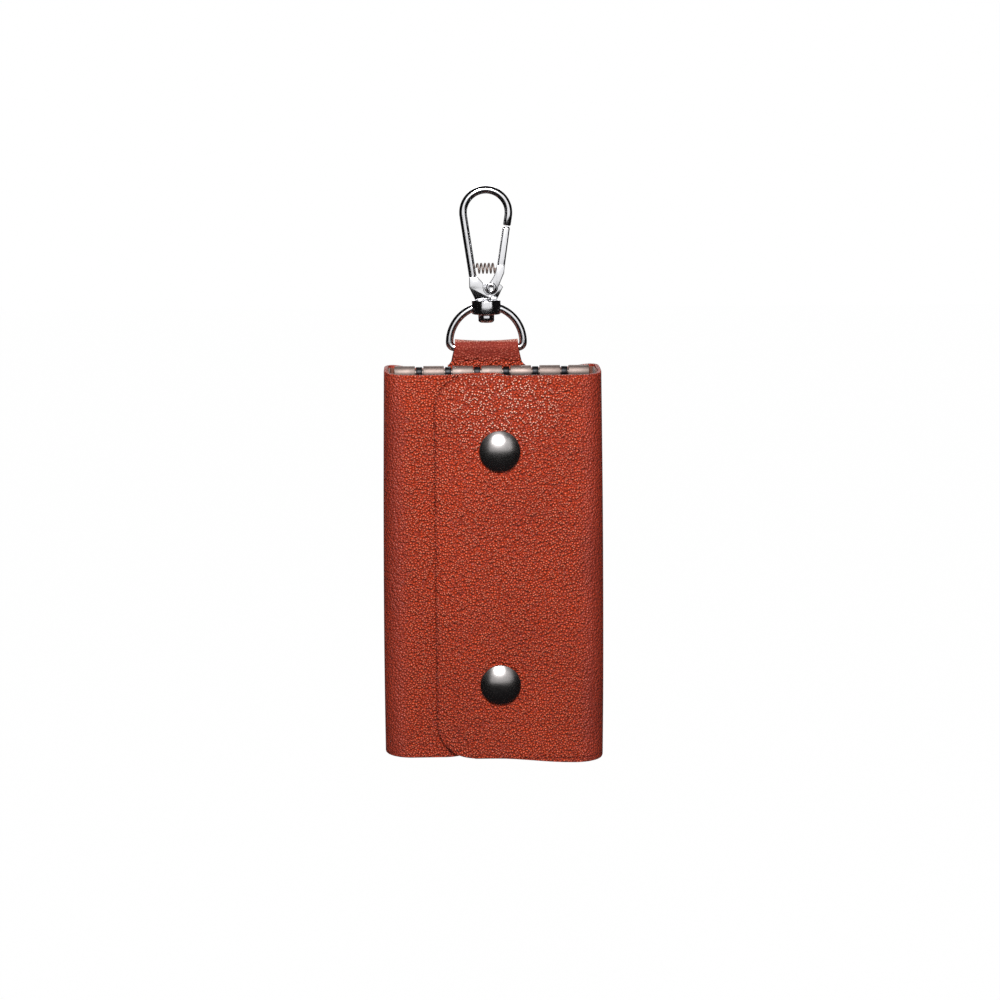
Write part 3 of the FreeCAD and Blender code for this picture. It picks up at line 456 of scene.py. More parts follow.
def close_edit():
    """Leave edit mode with the faces turned outwards."""
    bpy.ops.mesh.select_all(action="SELECT")
    bpy.ops.mesh.normals_make_consistent(inside=False)
    bpy.ops.object.mode_set(mode="OBJECT")


def edit_selected(piece, wanted):
    """Open a piece in edit mode with only the points that are wanted selected."""
    select_only(piece)
    bpy.ops.object.mode_set(mode="EDIT")
    bpy.ops.mesh.select_mode(type="VERT")
    bpy.ops.mesh.select_all(action="DESELECT")
    bpy.ops.object.mode_set(mode="OBJECT")
    for vertex in piece.data.vertices:
        vertex.select = wanted(vertex.co)
    bpy.ops.object.mode_set(mode="EDIT")


def cut_rows(piece, normal, levels):
    """Cut a piece right through at levels along an axis, so that it can bend there."""
    normal = Vector(normal)
    edit_selected(piece, lambda place: True)
    for level in levels:
        bpy.ops.mesh.select_all(action="SELECT")
        bpy.ops.mesh.bisect(plane_co=normal * level, plane_no=normal)
    close_edit()


def move_points(piece, settle):
    for vertex in piece.data.vertices:
        vertex.co = settle(vertex.co.copy())


def apply_modifier(piece, kind, **settings):
    select_only(piece)
    modifier = piece.modifiers.new(kind.title(), kind)
    for name, value in settings.items():
        setattr(modifier, name, value)
    bpy.ops.object.modifier_apply(modifier=modifier.name)


def soften(piece, width, segments=3):
    """Round the sharp edges and smooth the rest."""
    if width:
        apply_modifier(
            piece, "BEVEL", width=width, segments=segments, limit_method="ANGLE",
            angle_limit=SMOOTH_ANGLE, use_clamp_overlap=True,
        )
    select_only(piece)
    bpy.ops.object.shade_smooth_by_angle(angle=SMOOTH_ANGLE)


def round_edges(piece, width, is_seam):
    """Round the cut edges of a sheet, apart from those where it meets the next sheet."""
    select_only(piece)
    bpy.ops.object.mode_set(mode="EDIT")
    bpy.ops.mesh.select_mode(type="EDGE")
    bpy.ops.mesh.select_all(action="DESELECT")
    bpy.ops.mesh.edges_select_sharp(sharpness=SMOOTH_ANGLE)
    bpy.ops.object.mode_set(mode="OBJECT")
    points = piece.data.vertices
    for edge in piece.data.edges:
        if all(is_seam(points[index].co) for index in edge.vertices):
            edge.select = False
    bpy.ops.object.mode_set(mode="EDIT")
    bpy.ops.mesh.bevel(offset=width, segments=EDGE_STEPS, affect="EDGES", clamp_overlap=True)
    bpy.ops.mesh.select_mode(type="VERT")
    bpy.ops.object.mode_set(mode="OBJECT")


def keep_rest_place(piece):
    """Store where each point lies at rest, so that the finish stays put on leather that bends."""
    places = [part for point in piece.data.vertices for part in point.co]
    piece.data.attributes.new(REST_PLACE, "FLOAT_VECTOR", "POINT").data.foreach_set("vector", places)


def dress(piece, slot, *nodes):
    """Give a piece its finish, and hide the nodes that it replaces."""
    if slot == "leather":
        keep_rest_place(piece)
    piece.data.materials.clear()
    piece.data.materials.append(bpy.data.materials[FINISHES[slot]])
    if nodes:
        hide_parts(*nodes)


def sizes():
    return bpy.context.scene.key_case_leather


def metals():
    return bpy.context.scene.key_case_metals


def colours():
    return bpy.context.scene.key_case_colours


def smooth_step(value, low, high):
    share = min(max((value - low) / (high - low), 0), 1)
    return share * share * (3 - 2 * share)


def seam_y(side_name):
    """The middle of a spine, where its back and front pieces of leather meet."""
    return (BACK_Y - sizes().back_bend + FRONT_Y[side_name] + sizes().front_bend) / 2


def settle_leather(place, flap=None):
    """Where a point of the case's leather comes to rest: swollen by the keys, dimpled and slightly wavy."""
    size = sizes()
    fall = (RIM_Z - place.z) / CASE_HEIGHT
    out = place.x - CASE_MIDDLE
    reach = smooth_step(abs(out), HALF_CASE - size.swell_inset, HALF_CASE)
    swell = size.rim_swell + size.foot_swell * math.sin(math.pi * SWELL_TURN * min(max(fall, 0), 1))
    moved = place.copy()
    moved.x += math.copysign(swell * reach, out)
    wave = noise.noise(place / size.wave_length) * size.wave
    moved.y += wave * smooth_step(fall, 0.0, WAVE_START)
    inward = smooth_step(HALF_CASE - abs(out), size.lining, size.rim_dip_run)
    behind = smooth_step(place.y, LINING_BACK_Y - 2 * size.leather, LINING_BACK_Y - size.lining)
    moved.z -= size.rim_dip * inward * behind * (1 - smooth_step(RIM_Z - place.z, 0, size.rim_dip_run))
    right = smooth_step(out, 0, HALF_CASE - size.front_bend)
    before = smooth_step(-place.y, -seam_y("right"), -FRONT_Y["right"] - size.front_bend / 2)
    moved.z -= size.foot_sag * right * before * fall ** SAG_POWER
    moved.z -= size.front_dip * before * (1 - smooth_step(RIM_Z - place.z, 0, size.rim_dip_run))
    if flap == "right":
        for low, high in CAPS.values():
            middle = (low + high) / 2
            apart = math.hypot(place.x - middle.x, place.z - middle.z)
            moved.y -= wave * (1 - smooth_step(apart, 0, size.dimple_reach))
            moved.y += size.dimple * (1 - smooth_step(apart, high.x - middle.x, size.dimple_reach))
        outer = smooth_step(FRONT_Y["right"] + size.leather - place.y, 0, size.leather)
        near = 1 - smooth_step(edge_distance(place), 0, size.skive_run)
        moved.y += size.skive * near * outer
    return moved


def edge_distance(place):
    """How far a point of the upper flap lies from its free edge, round its corners too."""
    radius = sizes().flap_corner
    inward = place.x - FREE_EDGE["right"]
    level = min(RIM_Z - place.z, place.z - FOOT_Z)
    if inward < radius and level < radius:
        return max(radius - math.hypot(radius - inward, radius - level), 0)
    return max(inward, 0)


def shell_levels(inset):
    count = round(CASE_HEIGHT / sizes().row_height)
    step = (CASE_HEIGHT - 2 * inset) / count
    return [FOOT_Z + inset + step * row for row in range(1, count)]


def on_seam(place, seam, flap):
    """Whether a point lies where two sheets of the shell meet, in a spine or in the middle of the back."""
    if abs(place.x - CASE_MIDDLE) > HALF_CASE - SEAM_REACH:
        return abs(place.y - seam) < SEAM_NEAR
    return flap is None and abs(place.x - CASE_MIDDLE) < SEAM_NEAR


def finish_shell(piece, side_name, inset, flap=None, corner=0, edge=0, edge_round=0):
    """Round a sheet's free corners, cut it into rows and columns, and let it settle."""
    size = sizes()
    if corner:
        for level in (RIM_Z - inset, FOOT_Z + inset):
            edit_selected(piece, lambda place: abs(place.x - edge) < WELD and abs(place.z - level) < WELD)
            bpy.ops.mesh.bevel(offset=corner, segments=ARC_STEPS, affect="EDGES", offset_type="OFFSET")
            bpy.ops.object.mode_set(mode="OBJECT")
    cut_rows(piece, (0, 0, 1), shell_levels(inset))
    across = [vertex.co.x for vertex in piece.data.vertices]
    low, width = min(across), max(across) - min(across)
    count = round(width / size.row_height)
    step = width / count
    cut_rows(piece, (1, 0, 0), [low + step * column for column in range(1, count)])
    move_points(piece, lambda place: settle_leather(place, flap))
    if edge_round:
        seam = seam_y(side_name)
        round_edges(piece, edge_round, lambda place: on_seam(place, seam, flap))
    soften(piece, 0)


def make_back_half(name, side_name, sheet):
    """Half of the back panel and half of a spine, as leather round the board or as lining."""
    size = sizes()
    side = SIDES[side_name]
    inset = size.lining_inset if sheet == "lining" else 0
    place, axis = across_plane(side, FOOT_Z + inset)
    seam = seam_y(side_name)
    inside = HALF_CASE - size.leather
    bend, fill = size.back_bend, size.corner_fill
    if sheet == "lining":
        pen = Pen(name, place, axis, (0, LINING_BACK_Y), side)
        spine_run = LINING_BACK_Y - fill - seam
        pen.strip(0, ((inside - fill, 0), (fill, -90), (spine_run, 0)), size.lining)
    else:
        pen = Pen(name, place, axis, (0, BACK_Y), side)
        pen.to((HALF_CASE - bend, BACK_Y)).arc((HALF_CASE - bend, BACK_Y - bend), -90)
        pen.to((HALF_CASE, seam), (inside, seam), (inside, LINING_BACK_Y - fill))
        pen.arc((inside - fill, LINING_BACK_Y - fill), 90).to((0, LINING_BACK_Y))
    piece = pen.solid((0, 0, CASE_HEIGHT - 2 * inset))
    finish_shell(piece, side_name, inset, edge_round=0 if inset else size.edge_round)
    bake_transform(piece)
    return piece


def make_front(name, side_name, sheet):
    """Half of a spine and the whole of its flap, as leather or as lining."""
    size = sizes()
    side = SIDES[side_name]
    lining = sheet == "lining"
    inset = size.lining_inset if lining else 0
    depth = size.leather if lining else 0
    place, axis = across_plane(side, FOOT_Z + inset)
    seam = seam_y(side_name)
    bend = size.front_bend
    front = FRONT_Y[side_name]
    edge = FREE_EDGE[side_name] + side * inset
    flat = HALF_CASE - bend - side * (edge - CASE_MIDDLE)
    runs = [(seam - front - bend, 0), (bend - depth, -90)]
    if side_name == "left":
        rise = TONGUE_Y - front
        radius = (size.step_run ** 2 + rise ** 2) / (4 * rise)
        turn = math.degrees(2 * math.atan(rise / size.step_run))
        start = FREE_EDGE["right"] + size.step_start
        before = HALF_CASE - bend - side * (start - CASE_MIDDLE)
        runs += [(before, 0), (radius - depth, -turn), (radius + depth, turn)]
        runs += [(flat - before - size.step_run, 0)]
    else:
        runs += [(flat, 0)]
    pen = Pen(name, place, axis, (HALF_CASE - depth, seam), side)
    pen.strip(-90, runs, size.lining if lining else size.leather)
    piece = pen.solid((0, 0, CASE_HEIGHT - 2 * inset))
    corner = (size.tongue_corner if side_name == "left" else size.flap_corner) - inset
    finish_shell(
        piece, side_name, inset, side_name, corner, edge, edge_round=0 if inset else size.edge_round
    )
    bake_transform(piece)
    return piece


class KEYCASE_OT_shell(bpy.types.Operator):
    """Sew the leather case and its lining"""

    bl_idname = "key_case.shell"
    bl_label = "Leather Case"

    def execute(self, context):
        for side_name in SIDES:
            back = make_back_half("back_%s_half" % side_name, side_name, "leather")
            covered = ["back_leather", "backing_board"] if side_name == "right" else []
            dress(back, "leather", side_name + "_spine_leather", *covered)
            front = make_front(side_name + "_front", side_name, "leather")
            dress(front, "leather", side_name + "_flap_leather")
            back = make_back_half("back_%s_lining" % side_name, side_name, "lining")
            covered = ["back_lining"] if side_name == "right" else []
            dress(back, "lining", side_name + "_spine_lining", *covered)
            front = make_front(side_name + "_front_lining", side_name, "lining")
            dress(front, "lining", side_name + "_flap_lining")
        return {"FINISHED"}


class KEYCASE_OT_strap(bpy.types.Operator):
    """Fold the leather tab over the ring's bar"""

    bl_idname = "key_case.strap"
    bl_label = "Strap Tab"

    def execute(self, context):
        size = sizes()
        layer, lean, curve = size.strap_layer, size.strap_lean, size.strap_curve
        loop = metals().ring_wire / 2 + size.strap_slack + layer
        bar_z = RING_LOW.z + metals().ring_wire / 2
        inner = size.strap_gap / 2
        spread = loop * math.cos(lean) - layer - inner - curve * (1 - math.cos(lean))
        slope = spread / math.sin(lean)
        bend_z = bar_z - loop * math.sin(lean) - slope * math.cos(lean) - curve * math.sin(lean)
        tail_z = RIM_Z - size.strap_sink
        half_foot = size.strap_foot / 2
        turn = math.degrees(lean)
        tail = [(bend_z - tail_z, 0), (curve, turn), (slope, 0)]
        back = [(slope, 0), (curve, turn), (bend_z - tail_z, 0)]
        place, axis = side_plane(-half_foot)
        pen = Pen("strap_leather", place, axis, (-layer - inner, tail_z))
        pen.strip(90, tail + [(loop, -180 - 2 * turn)] + back, layer)
        strap = pen.solid((2 * half_foot, 0, 0))
        columns = round(2 * half_foot / size.row_height)
        cut_rows(strap, (1, 0, 0), [half_foot * (2 * i / columns - 1) for i in range(1, columns)])

        def settle(point):
            up = smooth_step(point.z, RIM_Z - size.rim_dip, RING_LOW.z - size.strap_neck)
            reach = point.x / half_foot
            point.x *= 1 + (size.strap_width / size.strap_foot - 1) * up
            point.z += size.strap_dish * reach ** 2 * smooth_step(point.z, bar_z, bar_z + loop)
            return point

        move_points(strap, settle)
        soften(strap, size.edge_round / 2)
        dress(strap, "leather", "strap_tab")
        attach(strap, "back")
        return {"FINISHED"}


class Wire:
    """Draws a round wire by extruding and spinning a circle."""

    def __init__(self, name, start, ahead, radius, sides=28):
        turn = Vector(ahead).to_track_quat("Z", "Y").to_euler()
        self.piece = add_new(
            name, bpy.ops.mesh.primitive_circle_add,
            vertices=sides, radius=radius, fill_type="NGON", location=start, rotation=turn,
        )
        open_edit()

    def run(self, step):
        bpy.ops.mesh.extrude_region_move(TRANSFORM_OT_translate={"value": step})
        return self

    def bend(self, center, axis, degrees, steps=ARC_STEPS):
        bpy.ops.mesh.spin(steps=steps, angle=-math.radians(degrees), center=center, axis=axis)
        return self

    def end(self):
        close_edit()
        return self.piece


def turned(name, profile, origin, toward, sides=56, hollow=False):
    """Turn a piece ring by ring: (radius, height) steps along an axis, back to the first if hollow."""
    radius, height = profile[0]
    piece = add_new(
        name, bpy.ops.mesh.primitive_circle_add,
        vertices=sides, radius=radius, fill_type="NOTHING" if hollow else "NGON", location=(0, 0, height),
    )
    open_edit()
    for next_radius, next_height in profile[1:]:
        bpy.ops.mesh.extrude_region_move(TRANSFORM_OT_translate={"value": (0, 0, next_height - height)})
        share = next_radius / radius
        bpy.ops.transform.resize(value=(share, share, 1), center_override=(0, 0, next_height))
        radius, height = next_radius, next_height
    if hollow:
        bpy.ops.mesh.select_all(action="SELECT")
        bpy.ops.mesh.remove_doubles(threshold=WELD)
    close_edit()
    piece.rotation_euler = Vector(toward).to_track_quat("Z", "Y").to_euler()
    piece.location = origin
    bpy.ops.object.transform_apply()
    return piece


def dome(radius, rise, base=0.0, tip=0.06, steps=10):
    """Profile steps over a dome, from its edge to a small flat at its top."""
    ball = (radius ** 2 + rise ** 2) / (2 * rise)
    steps_in = [radius * (1 - (1 - tip) * step / steps) for step in range(1, steps + 1)]
    return [(out, base + math.sqrt(ball ** 2 - out ** 2) - (ball - rise)) for out in steps_in]


def head_profile(shares, radius, rise):
    return [(radius * out, rise * up) for out, up in shares]


def combine(piece, other, operation="UNION"):
    """Join, or cut, one closed piece with another."""
    apply_modifier(piece, "BOOLEAN", object=other, operation=operation, solver="EXACT")
    bpy.data.objects.remove(other)


def copy_piece(piece, name, step):
    """A copy of a finished piece with its own mesh, set off by a step."""
    select_only(piece)
    bpy.ops.object.duplicate(linked=False)
    copy = bpy.context.object
    copy.name = name
    bpy.ops.transform.translate(value=step)
    bpy.ops.object.transform_apply()
    return copy


def clasp_places():
    """The points that the clasp's pieces share, in the plane of its loop."""
    size = metals()
    hook_low, hook_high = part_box("clasp_hook")
    center = Vector((0, 0, hook_high.z - size.clasp_wire / 2 - size.loop_radius))
    down = Vector((-math.sin(size.arm_lean), 0, -math.cos(size.arm_lean)))
    tangent = center + Vector((math.cos(size.arm_lean), 0, -math.sin(size.arm_lean))) * size.loop_radius
    pivot = Vector((size.pivot_offset, 0, hook_low.z + size.pivot_rise))
    return hook_low.z, center, tangent, down, pivot


def make_hook():
    """The clasp's hook: a bent wire on a base with a recess for the gate's eye."""
    size = metals()
    foot_z, center, tangent, down, pivot = clasp_places()
    half_depth = -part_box("clasp_gate")[0].y
    arm = (tangent.z - foot_z - size.foot_rise) / math.cos(size.arm_lean)
    left_tangent = Vector((-tangent.x, 0, tangent.z))
    rise = Vector((down.x, 0, -down.z))
    wire = Wire("hook", left_tangent - rise * arm, rise, size.clasp_wire / 2)
    wire.run(rise * arm).bend(center, (0, 1, 0), 180 + 2 * math.degrees(size.arm_lean), 3 * ARC_STEPS)
    hook = wire.run(down * size.nose).end()
    soften(hook, size.boss_round)
    half_base, half_shoulder = size.base_width / 2, size.shoulder_width / 2
    base_top, shoulder_top = foot_z + size.base_rise, foot_z + size.shoulder_rise
    lap = size.eye_radius + size.gate_gap
    place, axis = front_plane(0)
    pen = Pen("base_back", place, axis, (-half_base, foot_z))
    pen.to((half_base, foot_z), (half_shoulder, pivot.z), (pivot.x + size.eye_radius, base_top))
    pen.to((pivot.x - lap, base_top), (-half_shoulder + size.clasp_wire, shoulder_top))
    pen.to((-half_shoulder, shoulder_top), (-half_shoulder, pivot.z))
    back = pen.solid((0, half_depth, 0))
    soften(back, size.boss_round / 2)
    place, axis = front_plane(-half_depth)
    pen = Pen("base_front", place, axis, (-half_base, foot_z))
    pen.to((pivot.x, foot_z), (pivot.x, pivot.z - lap))
    pen.arc((pivot.x, pivot.z), -90).to((pivot.x - lap, base_top))
    pen.to((-half_shoulder + size.clasp_wire, shoulder_top), (-half_shoulder, shoulder_top))
    pen.to((-half_shoulder, pivot.z))
    front = pen.solid((0, half_depth * BASE_LAP, 0))
    soften(front, size.boss_round)
    combine(back, front)
    combine(hook, back)
    soften(hook, 0)
    dress(hook, "nickel", "clasp_hook")
    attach(hook, "hook")


def make_gate():
    """The sprung gate: a bar that closes the loop, on a lever with an eye."""
    size = metals()
    _, _, tangent, down, pivot = clasp_places()
    gate_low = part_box("clasp_gate")[0]
    half = size.gate_width / 2
    top = tangent + down * (size.nose + size.gate_gap)
    knee_z = pivot.z + size.knee_rise
    knee_x = top.x + (top.z - knee_z) / down.z * -down.x
    wide = half / math.cos(size.arm_lean)
    place, axis = front_plane(-half)
    pen = Pen("gate", place, axis, (knee_x - wide, knee_z))
    pen.to((knee_x + wide, knee_z), (top.x + wide - math.sin(size.arm_lean) * half, top.z))
    pen.to((top.x - wide, top.z))
    gate = pen.solid((0, 2 * half, 0))
    soften(gate, half * ROUND["gate"], segments=5)
    place, axis = front_plane(gate_low.y)
    eye = size.eye_radius
    pen = Pen("gate_lever", place, axis, (pivot.x - eye, pivot.z))
    pen.arc((pivot.x, pivot.z), 180, 2 * ARC_STEPS)
    pen.to((knee_x + wide, knee_z), (knee_x + wide + down.x * -half, knee_z + size.gate_width))
    pen.to((knee_x - wide * LEVER_TAPER, knee_z + size.gate_width))
    pen.arc_to((pivot.x - eye, pivot.z), -size.gate_flare)
    lever = pen.solid((0, -gate_low.y - size.gate_lap_gap, 0))
    soften(lever, size.boss_round * ROUND["lever"])
    combine(gate, lever)
    soften(gate, 0)
    dress(gate, "nickel", "clasp_gate")
    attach(gate, "gate")


def make_rivet():
    """The gate's rivet, with a peened ring round a small dimple."""
    rivet_low, rivet_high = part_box("clasp_rivet")
    middle = (rivet_low + rivet_high) / 2
    head = (rivet_high.x - rivet_low.x) / 2
    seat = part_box("clasp_gate")[0].y
    rise = seat - rivet_low.y
    shank = head * SHANK["rivet"]
    profile = [(shank, seat - rivet_high.y), (shank, 0)] + head_profile(RIVET_HEAD, head, rise)
    rivet = turned("rivet", profile, (middle.x, seat, middle.z), (0, -1, 0), sides=40)
    soften(rivet, rise * ROUND["rivet"], segments=2)
    dress(rivet, "nickel", "clasp_rivet")
    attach(rivet, "hook")


def make_coil():
    """The gate's coil spring, wound by the Screw modifier; on the real clasp it shortens as the gate opens.
    """
    size = metals()
    low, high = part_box("clasp_spring")
    foot_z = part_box("clasp_hook")[0].z
    radius = (size.coil_dia - size.coil_wire) / 2
    coil_z = foot_z + size.coil_rise
    half = size.coil_wire / 2
    coil = Wire("coil", (low.x + half, radius, coil_z), (0, 0, 1), half, sides=14).end()
    edit_selected(coil, lambda place: True)
    bpy.ops.mesh.delete(type="ONLY_FACE")
    bpy.ops.object.mode_set(mode="OBJECT")
    coil.data.transform(Matrix.Translation((0, 0, -coil_z)))
    span = high.x - low.x - size.coil_wire
    apply_modifier(
        coil, "SCREW", axis="X", angle=2 * math.pi, screw_offset=span / size.coil_turns,
        iterations=size.coil_turns, steps=COIL_STEPS, render_steps=COIL_STEPS, use_merge_vertices=False,
    )
    coil.data.transform(Matrix.Translation((0, 0, coil_z)))
    edit_selected(coil, lambda place: True)
    bpy.ops.mesh.fill_holes(sides=20)
    close_edit()
    soften(coil, 0)
    dress(coil, "steel", "clasp_spring")
    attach(coil, "hook")
    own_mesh(coil)


def make_stud():
    """The swivel stud, peened under the ring's boss."""
    low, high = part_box("swivel_stud")
    head = (high.x - low.x) / 2
    shank, rise = head * SHANK["stud"], STUD_RISE
    profile = head_profile(STUD_HEAD, head, rise) + [(shank, rise), (shank, high.z - low.z)]
    stud = turned("stud", profile, (0, 0, low.z), (0, 0, 1), sides=40)
    soften(stud, head * ROUND["stud"], segments=2)
    dress(stud, "nickel", "swivel_stud")
    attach(stud, "hook")


class KEYCASE_OT_clasp(bpy.types.Operator):
    """Make the clasp: hook, gate, rivet, coil spring and swivel stud"""

    bl_idname = "key_case.clasp"
    bl_label = "Clasp"

    def execute(self, context):
        make_hook()
        make_gate()
        make_rivet()
        make_coil()
        make_stud()
        return {"FINISHED"}


class KEYCASE_OT_ring(bpy.types.Operator):
    """Bend the D-ring and turn its boss"""

    bl_idname = "key_case.ring"
    bl_label = "Ring"

    def execute(self, context):
        size = metals()
        half = size.ring_wire / 2
        leg = RING_HIGH.x - half
        corner = size.ring_corner
        bar_z = RING_LOW.z + half
        arch = Vector((0, 0, bar_z + corner))
        boss = RING_HIGH.y
        inside = math.degrees(math.asin((boss + size.boss_bore / 2) / 2 / leg))
        start = arch + Matrix.Rotation(math.radians(inside), 3, "Y") @ Vector((0, 0, leg))
        ahead = Matrix.Rotation(math.radians(inside), 3, "Y") @ Vector((1, 0, 0))
        wire = Wire("ring", start, ahead, half)
        wire.bend(arch, (0, 1, 0), 90 - inside, 2 * ARC_STEPS)
        wire.bend(Vector((leg - corner, 0, arch.z)), (0, 1, 0), 90, ARC_STEPS)
        wire.run((2 * (corner - leg), 0, 0))
        wire.bend(Vector((corner - leg, 0, arch.z)), (0, 1, 0), 90, ARC_STEPS)
        ring = wire.bend(arch, (0, 1, 0), 90 - inside, 2 * ARC_STEPS).end()
        soften(ring, 0)
        top, low = RING_HIGH.z, RING_HIGH.z - BOSS_HEIGHT
        bore = size.boss_bore / 2
        profile = [(bore, low), (boss, low), (boss, top), (bore, top), (bore, low)]
        barrel = turned("boss", profile, (0, 0, 0), (0, 0, 1), sides=64, hollow=True)
        soften(barrel, size.boss_round, segments=4)
        combine(ring, barrel)
        soften(ring, 0)
        dress(ring, "nickel", "d_ring")
        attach(ring, "ring")
        return {"FINISHED"}


class KEYCASE_OT_snaps(bpy.types.Operator):
    """Stamp the domed snap caps"""

    bl_idname = "key_case.snaps"
    bl_label = "Snaps"

    def execute(self, context):
        low, high = CAPS["upper"]
        middle = (low + high) / 2
        radius = (high.x - low.x) / 2
        seat = FRONT_Y["right"]
        rise = seat - low.y
        lip = rise * LIP_RISE
        post = radius * SHANK["cap"]
        profile = [(post, seat - high.y), (post, 0)] + head_profile(CAP_LIP, radius, lip)
        profile += dome(profile[-1][0], rise - lip, lip)
        cap = turned("upper_cap", profile, (middle.x, seat, middle.z), (0, -1, 0), sides=72)
        soften(cap, 0)
        lower = copy_piece(cap, "lower_cap", CAPS["lower"][0] - low)
        for piece, node in ((cap, "upper_snap_cap"), (lower, "lower_snap_cap")):
            dress(piece, "gunmetal", node)
            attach(piece, "right_flap")
        return {"FINISHED"}


def hook_steps():
    """How far each key hook lies from the first."""
    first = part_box("key_hook_1")[0]
    return [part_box("key_hook_%d" % number)[0] - first for number in HOOK_NUMBERS]


def make_plate():
    """The key plate: sheet steel rolled into knuckles, with a slot for each hook."""
    size = metals()
    low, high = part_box("key_plate")
    axle = (AXLE_LOW + AXLE_HIGH) / 2
    wrap = math.degrees(size.knuckle_wrap)
    turn, radius = size.knuckle_wrap, size.knuckle_radius
    start = (axle.y + radius * math.cos(turn), axle.z + radius * math.sin(turn))
    place, axis = side_plane(low.x)
    pen = Pen("plate", place, axis, start)
    pen.strip(wrap - 90, ((size.knuckle_radius, -wrap), (axle.z - low.z, 0)), size.sheet)
    plate = pen.solid((high.x - low.x, 0, 0))
    bottom = axle.z - size.slot_depth
    top = high.z + size.sheet
    hook_low, hook_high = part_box("key_hook_1")
    cutter = add_new(
        "cutter", bpy.ops.mesh.primitive_cube_add,
        size=1, location=((hook_low.x + hook_high.x) / 2, axle.y, (bottom + top) / 2),
        scale=(size.hook_slot, 4 * size.knuckle_radius, top - bottom),
    )
    for step in hook_steps()[1:]:
        combine(plate, copy_piece(cutter, "cutter", step), "DIFFERENCE")
    combine(plate, cutter, "DIFFERENCE")
    soften(plate, size.sheet * ROUND["plate"], segments=2)
    dress(plate, "steel", "key_plate")
    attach(plate, "back")


def make_key_hook():
    """One key hook: an eye on the axle, a flat shank and a round bend."""
    size = metals()
    low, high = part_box("key_hook_1")
    axle = (AXLE_LOW + AXLE_HIGH) / 2
    outer = (axle.y + HOOK_SETBACK - low.y) / 2
    bend_z = low.z + outer
    place, axis = side_plane(low.x)
    pen = Pen("hook_1", place, axis, (low.y + 2 * outer, axle.z))
    tip = size.hook_tip + size.hook_limb / 2
    pen.strip(-90, ((axle.z - bend_z, 0), (outer, -180), (tip, 0)), size.hook_limb)
    hook = pen.solid((high.x - low.x, 0, 0))
    soften(hook, size.hook_limb * ROUND["hook"])
    bore, eye, width = size.hook_bore, size.hook_eye, high.x - low.x
    profile = [(bore, 0), (eye, 0), (eye, width), (bore, width), (bore, 0)]
    ring = turned("eye", profile, (low.x, axle.y, axle.z), (1, 0, 0), sides=40, hollow=True)
    soften(ring, size.hook_limb * ROUND["eye"], segments=2)
    profile = [(bore, -width), (bore, 2 * width)]
    plug = turned("plug", profile, (low.x, axle.y, axle.z), (1, 0, 0), sides=40)
    combine(hook, plug, "DIFFERENCE")
    combine(hook, ring)
    soften(hook, 0)
    return hook


class KEYCASE_OT_key_holder(bpy.types.Operator):
    """Roll the key plate and form the key hooks"""

    bl_idname = "key_case.key_holder"
    bl_label = "Key Holder"

    def execute(self, context):
        make_plate()
        first = make_key_hook()
        for number, step in zip(HOOK_NUMBERS, hook_steps()):
            hook = copy_piece(first, "hook_%d" % number, step) if number > 1 else first
            dress(hook, "black_steel", "key_hook_%d" % number)
            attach(hook, "key_hook_%d" % number)
        return {"FINISHED"}


class KEYCASE_OT_finish(bpy.types.Operator):
    """Give the parts that keep their shape their finish"""

    bl_idname = "key_case.finish"
    bl_label = "Finish"

    def execute(self, context):
        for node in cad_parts.values():
            if not node.hide_render:
                slot = node.material_slots[0].material.name.split(".")[0]
                node.material_slots[0].material = bpy.data.materials[FINISHES[slot]]
        return {"FINISHED"}


class Shade:
    """A socket of a node tree, with arithmetic that adds Math nodes."""

    def __init__(self, finish, socket):
        self.finish = finish
        self.socket = socket

    def __add__(self, other):
        return self.finish.maths("ADD", self, other)

    def __radd__(self, other):
        return self.finish.maths("ADD", other, self)

    def __sub__(self, other):
        return self.finish.maths("SUBTRACT", self, other)

    def __rsub__(self, other):
        return self.finish.maths("SUBTRACT", other, self)

    def __mul__(self, other):
        return self.finish.maths("MULTIPLY", self, other)

    def __rmul__(self, other):
        return self.finish.maths("MULTIPLY", other, self)


class Finish:
    """A node tree, and the one way that nodes are added to it."""

    def __init__(self, tree):
        self.tree = tree
        tree.nodes.clear()

    def add(self, kind, settings=None, inputs=None, output=0):
        node = self.tree.nodes.new(kind)
        for name, value in (settings or {}).items():
            setattr(node, name, value)
        for name, value in (inputs or {}).items():
            if isinstance(value, Shade):
                self.tree.links.new(value.socket, node.inputs[name])
            else:
                node.inputs[name].default_value = value
        return Shade(self, node.outputs[output]) if node.outputs else None

    def maths(self, operation, left, right):
        return self.add("ShaderNodeMath", {"operation": operation}, {0: left, 1: right})

    def place(self):
        return self.add("ShaderNodeTexCoord", output="Object")

    def rest_place(self):
        return self.add("ShaderNodeAttribute", {"attribute_name": REST_PLACE}, output="Vector")

    def noise(self, place, scale, detail=2.0):
        inputs = {"Vector": place, "Scale": scale, "Detail": detail}
        return self.add("ShaderNodeTexNoise", {}, inputs)

    def bump(self, height, strength, depth):
        inputs = {"Strength": strength, "Distance": depth, "Height": height}
        return self.add("ShaderNodeBump", {}, inputs)

    def mix(self, share, first, second):
        """Mix two colours."""
        inputs = {0: share, 6: first, 7: second}
        return self.add("ShaderNodeMix", {"data_type": "RGBA"}, inputs, output=2)

    def spread(self, value, low, high, first=0.0, last=1.0):
        """Map a value between two limits, smoothly."""
        inputs = {"Value": value, 1: low, 2: high, 3: first, 4: last}
        return self.add("ShaderNodeMapRange", {"interpolation_type": "SMOOTHSTEP"}, inputs)


def start_material(name):
    material = bpy.data.materials.new(name)
    material.use_nodes = True
    return Finish(material.node_tree)


